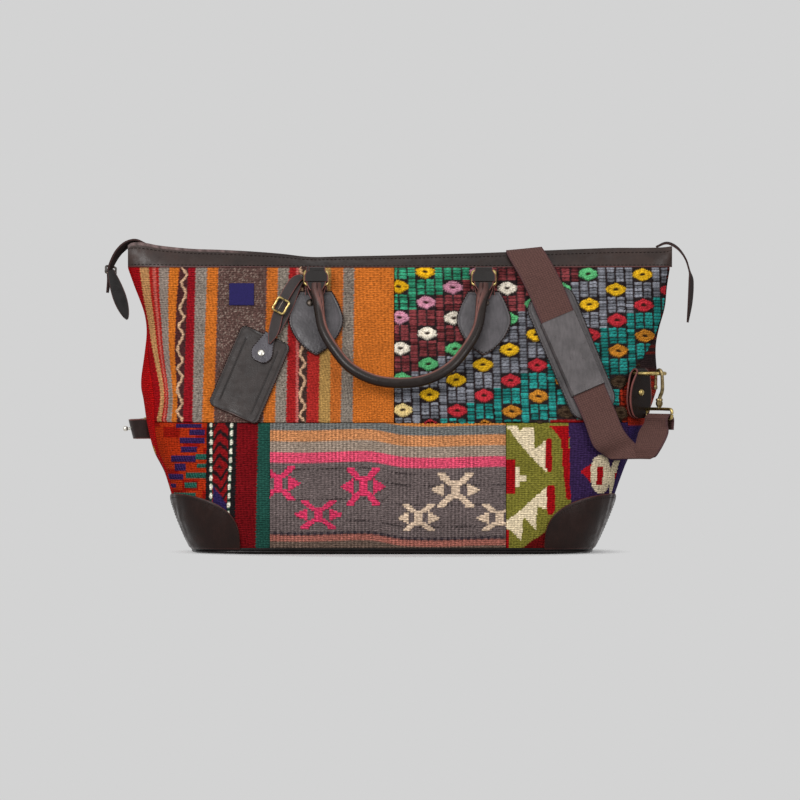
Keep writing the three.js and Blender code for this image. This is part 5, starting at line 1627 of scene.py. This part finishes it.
def slider_wire():
    """Flat hoop round the tail."""
    middle = np.array([-304.6, 0, 296])
    along, across = np.array([0, 0.93, 0.37]), np.array([0.98, 0.07, -0.18])
    pairs = [(-10, 0), (-9, 4.6), (0, 5.2), (9, 4.6), (10, 0), (9, -4.6), (0, -5.2), (-9, -4.6)]
    return wire(spread_points(middle, along, across, pairs), 1.2, 56, 8, closed=True)


def pull_leaf():
    """Leaf of leather hanging from the slider."""
    path = smooth_path([(-304.5, -11.6, 296), (-298.3, -12.4, 277), (-287, -13, 244)], 24)
    half = 7.2 * np.sin(math.pi * (0.1 + 0.89 * np.linspace(0, 1, 24) ** 1.25)) ** 0.6
    stations = level_stations(path, (0.94, 0, 0.34), half)
    return strap(stations, 2.0, 80, "#120e0d", "#4a3330", crown=0.5)


make("zip_tape_cloth", [tape_strip()], tape_cloth, slot="zip_cloth", replaces=["zip_tape"])
make("zip_teeth", [zip_teeth(-1), zip_teeth(1)], brass, slot="antique_brass", replaces=["zip_chain"])
make("left_tail", [left_tail()], tape_cloth, slot="zip_cloth", replaces=["left_zip_tail"])
make("right_tail", [right_tail()], tape_cloth, slot="zip_cloth", replaces=["right_zip_tail"])
make("slider_wire", [slider_wire()], dark_metal, slot="antique_brass", replaces=["zip_slider"])
make("pull_leaf", [pull_leaf()], band_leather, body="zip_pull", replaces=["zip_pull"])


# Back, ends and base: not in the photograph, so plain kilim fields in the same yarns

NAVY, OCHRE = "#2a2748", "#b98a3e"


def rows_of(tint, z, rows, soft=0.5, inside=1.0):
    """Lays level rows of (foot, top, colour) over a field, where inside is 1."""
    for low, high, code in rows:
        tint = lay(tint, strip(z, low, high, soft) * inside, code)
    return tint


def medallion_cloth(x, z):
    """Madder red field with a row of stepped lozenges in navy, cream and green, between thin ochre bands."""
    sx, sz = stepped(x, z, 2.6, 2.6)
    tint = field(x, "#8a1d1a")
    dx = np.abs(sx - np.round(sx / 70) * 70)
    dz = np.abs(sz - 218)
    reach = dx / 33 + dz / 50
    for limit, code in ((1.0, NAVY), (0.82, "#cdb89a"), (0.66, "#2c6a5a"), (0.42, "#b5552a"), (0.2, NAVY)):
        tint = lay(tint, reach < limit, code)
    arm, post = np.abs(dx - 35), np.abs(dz - 38)
    tint = lay(tint, (arm < 6.5) & (post < 4) | (arm < 2.7) & (post < 11), "#cfa04a")
    bands = [(146, 151, OCHRE), (151, 154, NAVY), (284, 287, NAVY), (287, 292, OCHRE)]
    return flecked(rows_of(tint, sz, bands, 0.4), 0.2), np.zeros_like(x)


BACK_BANDS = [(2, 12, "#4a2a26"), (12, 17, "#b0672f"), (17, 26, "#8f1c1c"), (44, 50, "#a5665a"),
              (50, 54, "#2e2b4d"), (54, 84, "#7c1f1d"), (84, 88, "#2e2b4d"), (88, 94, "#b0672f"),
              (112, 120, "#8f1c1c"), (120, 126, "#9b8a7c"), (126, 140, "#2f6a60")]


def banded_cloth(x, z):
    """Level bands of brown, madder, ochre and teal: a zigzag of stepped triangles on the wide one and rows of
    knots on two more."""
    sx, sz = stepped(x, z, 2.4, 2.0)
    tint = rows_of(field(x, "#63514a"), sz, BACK_BANDS)
    saw = zigzag(sx / 30)
    tint = lay(tint, strip(sz, 56, 82, 0.3) * (saw < (sz - 54) / 30), "#c9a25a")
    tint = lay(tint, strip(sz, 60, 78, 0.3) * (saw < (sz - 64) / 26), "#2e2b4d")
    low_knots, high_knots = [zigzag(sx / 19) + np.abs(sz - middle) / 7 for middle in (35, 103)]
    for knots, code in ((low_knots, "#d9b79c"), (high_knots, "#cf6472")):
        tint = lay(tint, knots < 0.85, code)
        tint = lay(tint, knots < 0.3, "#3a2b28")
    return flecked(tint, 0.22), 0.5 * (low_knots < 0.85)


def right_end_cloth(y, z):
    """Brown red, dark towards the top, with faint pin lines, over deep purple with one lozenge."""
    sy, sz = stepped(y, z, 2.2, 1.8)
    tint = field(y, "#8c2517")
    tint = lay(tint, ((sz / 9) % 1 < 0.25) & (sz > 140) & (sz < 205), "#4a1b15")
    tint = lay(tint, strip(sz, 190, 300, 5), "#2b2021")
    tint = lay(tint, strip(sz, 205, 300, 0.5) * ((sz / 8) % 1 < 0.2), "#6a2219")
    tint = lay(tint, strip(sz, 0, 133, 0.6), "#332552")
    lozenge = np.abs(sy) / 22 + np.abs(sz - 95) / 20
    for limit, code in ((1.0, "#c8ab86"), (0.75, "#8f1720"), (0.4, "#332552")):
        tint = lay(tint, lozenge < limit, code)
    return flecked(tint, 0.22)


def left_end_cloth(y, z):
    """Deep red with navy and ochre rows low down and a green zigzag between them."""
    sy, sz = stepped(y, z, 2.2, 1.8)
    inner = np.abs(sy) < 50
    rows = [(66, 72, OCHRE), (72, 76, NAVY), (100, 104, NAVY), (104, 110, OCHRE)]
    tint = rows_of(field(y, "#ad1012"), sz, rows, inside=inner)
    saw = np.abs(sz - 88) / 11 < zigzag(sy / 16)
    tint = lay(tint, strip(sz, 77, 99, 0.3) * saw * inner, "#2f5f52")
    return flecked(tint, 0.2)


def end_panel(first, last, pattern):
    """End of the bag between its two seams, folded in along the middle near the top, where the mouth draws it
    together."""
    z = np.linspace(BASE_TOP, PANEL_TOP, 135)[:, None]
    share = np.linspace(0, 1, 64)[None]
    fold = 5.0 * np.exp(-((share - 0.5) / 0.2) ** 2) * ramp(170, 250, z) * (1 - 0.5 * ramp(270, 300, z))
    points = bag_side(mix(first(z), last(z), share), z, -fold)
    return sewn(points, pattern(points[..., 1], points[..., 2]), tuck=0.6)


def right_back_seam(z):
    """Turn of the right end panel's seam with the back."""
    return math.pi - at_right_seam(z)


def left_back_seam(z):
    """Turn of the left end panel's seam with the back."""
    return -math.pi - at_left_seam(z)


def mirrored_stripes(x, z):
    """The striped cloth laid the other way round."""
    return striped_cloth(-x, z)


def back_join(z):
    """Turn of the upright join on the back, counted from the middle of the back."""
    return -turn_at(0, z)


for name, left, right, heights, columns, rows, pattern, cloth, slot, solid in (
        ("back_striped_panel", back_join, back_from_left, upper, 190, 100, mirrored_stripes,
         flat_kilim, "kilim_striped", "back_upper_left_panel"),
        ("back_medallion_panel", back_from_right, back_join, upper, 190, 110, medallion_cloth,
         flat_kilim, "kilim_red", "back_upper_right_panel"),
        ("back_banded_panel", back_from_right, back_from_left, (BASE_TOP, SEAM - JOIN), 300, 88, banded_cloth,
         ribbed_kilim, "kilim_beaded", "back_lower_panel")):
    panel = cloth_panel(left, right, *heights, columns, rows, pattern, back=True)
    make(name, [panel], cloth, slot=slot, replaces=[solid])
for side, first, last, pattern in (("right", at_right_seam, right_back_seam, right_end_cloth),
                                   ("left", left_back_seam, at_left_seam, left_end_cloth)):
    make(side + "_end_panel", [end_panel(first, last, pattern)], flat_kilim, slot="kilim_red",
         replaces=[side + "_gusset"])


def base_leather():
    """Flat base: rings of the bag's plan from the middle of the underside to the rim and back on top."""
    turn = np.linspace(0, math.tau, 160, endpoint=False)[None]
    size = np.array([0.02, 0.5, 0.9, 0.985, 1.0, 1.004, 1.0, 0.985, 0.9, 0.5, 0.02])[:, None, None]
    height = np.array([0, 0, 0, 0, 0.8, 2.0, 3.4, 3.9, 3.9, 3.9, 3.9])[:, None]
    plan = bag_side(turn, np.full_like(turn, 4.0), 0.6)
    middle = np.array([lean(4.0), 0, 0])
    points = middle + (plan - middle) * size
    points[..., 2] = height
    # Near black: the leather's own dark colour, darkened further as painted shadow under the bag.
    return Grid(points, hex_colour("#0f0807"), ring=True, caps=True)


def base_welt():
    """Leather cord sewn between the cloth and the base, all the way round."""
    turn = np.linspace(0, math.tau, 200, endpoint=False)
    path = bag_side(turn, np.full_like(turn, 4.6), 0.2)
    # Near black: the cord's own dark leather, darkened further as painted shadow under the bag.
    return sweep(path, -DOWN, circle(1.6, 10), closed=True, tint=hex_colour("#080504"))


make("base_leather", [base_leather(), base_welt()], patch_leather, replaces=["base_panel"])


# Camera, light and floor

BACKDROP = "#d3d3d3"


def studio():
    """Long lens from the front, a little above level; soft boxes left, right and above; plain grey behind."""
    scene = bpy.context.scene
    scene.view_settings.view_transform = "Standard"
    lens = bpy.data.cameras.new("camera")
    camera = bpy.data.objects.new("camera", lens)
    scene.collection.objects.link(camera)
    scene.camera = camera
    distance, tilt, middle, seen_width, front_face = 16.0, math.radians(0.8), 0.1592, 0.84, 0.05
    lens.sensor_width = 36
    lens.lens = lens.sensor_width * (distance - front_face) / seen_width
    lens.clip_end = 50
    camera.location = (0, -distance * math.cos(tilt), middle + distance * math.sin(tilt))
    camera.rotation_euler = (math.pi / 2 - tilt, 0, 0)
    boxes = [((-1.7, -2.6, 1.9), 1.8, 62), ((2.2, -2.4, 1.3), 1.8, 30), ((0, -1.0, 2.7), 2.0, 10)]
    for place, size, power in boxes:
        lamp = bpy.data.lights.new("soft_box", "AREA")
        lamp.size, lamp.energy = size, power
        holder = bpy.data.objects.new("soft_box", lamp)
        holder.location = place
        x, y, z = np.array((0, 0, 0.15)) - np.array(place)
        holder.rotation_euler = (math.atan2(math.hypot(x, y), -z), 0, math.atan2(y, x) - math.pi / 2)
        scene.collection.objects.link(holder)
    world = bpy.data.worlds.new("studio")
    scene.world = world
    world.use_nodes = True
    tree = world.node_tree
    rays = node(tree, "ShaderNodeLightPath", {}).node.outputs
    seen = node(tree, "ShaderNodeMath", {0: rays["Is Camera Ray"], 1: rays["Is Glossy Ray"]},
                operation="MAXIMUM")
    shown = node(tree, "ShaderNodeMath", {0: seen, 1: rays["Is Transmission Ray"]}, operation="MAXIMUM")
    grey = node(tree, "ShaderNodeBackground", {"Color": (*hex_colour(BACKDROP), 1), "Strength": 1.0})
    air = node(tree, "ShaderNodeBackground", {"Color": (1, 0.99, 0.98, 1), "Strength": 0.34})
    both = node(tree, "ShaderNodeMixShader", {0: shown, 1: air, 2: grey})
    fill(tree, tree.nodes["World Output"], {"Surface": both})


def floor():
    """Floor: matt grey in an oval under the bag, clear towards its rim, where the backdrop takes over."""
    made, tree, shader = material("matt studio floor")
    half_wide, half_deep, below, sides = 0.25, 0.27, -0.0006, 48
    place = node(tree, "ShaderNodeTexCoord", {}, "Object")
    oval_scale = (1 / half_wide, 1 / half_deep, 1)
    oval = node(tree, "ShaderNodeMapping", {"Vector": place, "Scale": oval_scale}, vector_type="POINT")
    far = node(tree, "ShaderNodeVectorMath", {0: oval}, "Value", operation="LENGTH")
    fade = node(tree, "ShaderNodeMapRange", {0: far, 1: 0.7, 2: 1.0, 3: 1.0, 4: 0.0},
                interpolation_type="SMOOTHSTEP")
    fill(tree, shader, {"Base Color": (*hex_colour(BACKDROP), 1), "Roughness": 1, "Specular IOR Level": 0,
                        "Alpha": fade})
    ring = np.array([0.001, 0.2, 0.4, 0.7])[:, None]
    turn = np.linspace(0, math.tau, sides, endpoint=False)[None]
    points = together(ring * np.cos(turn), ring * np.sin(turn), below)
    index = np.arange(ring.size * sides).reshape(ring.size, sides)
    index = np.hstack([index, index[:, :1]])
    faces = np.stack([index[:-1, :-1], index[1:, :-1], index[1:, 1:], index[:-1, 1:]], axis=-1).reshape(-1, 4)
    mesh = bpy.data.meshes.new("floor")
    mesh.from_pydata(points.reshape(-1, 3).tolist(), [], faces.tolist())
    mesh.materials.append(made)
    ground = bpy.data.objects.new("floor", mesh)
    bpy.context.scene.collection.objects.link(ground)


studio()
floor()
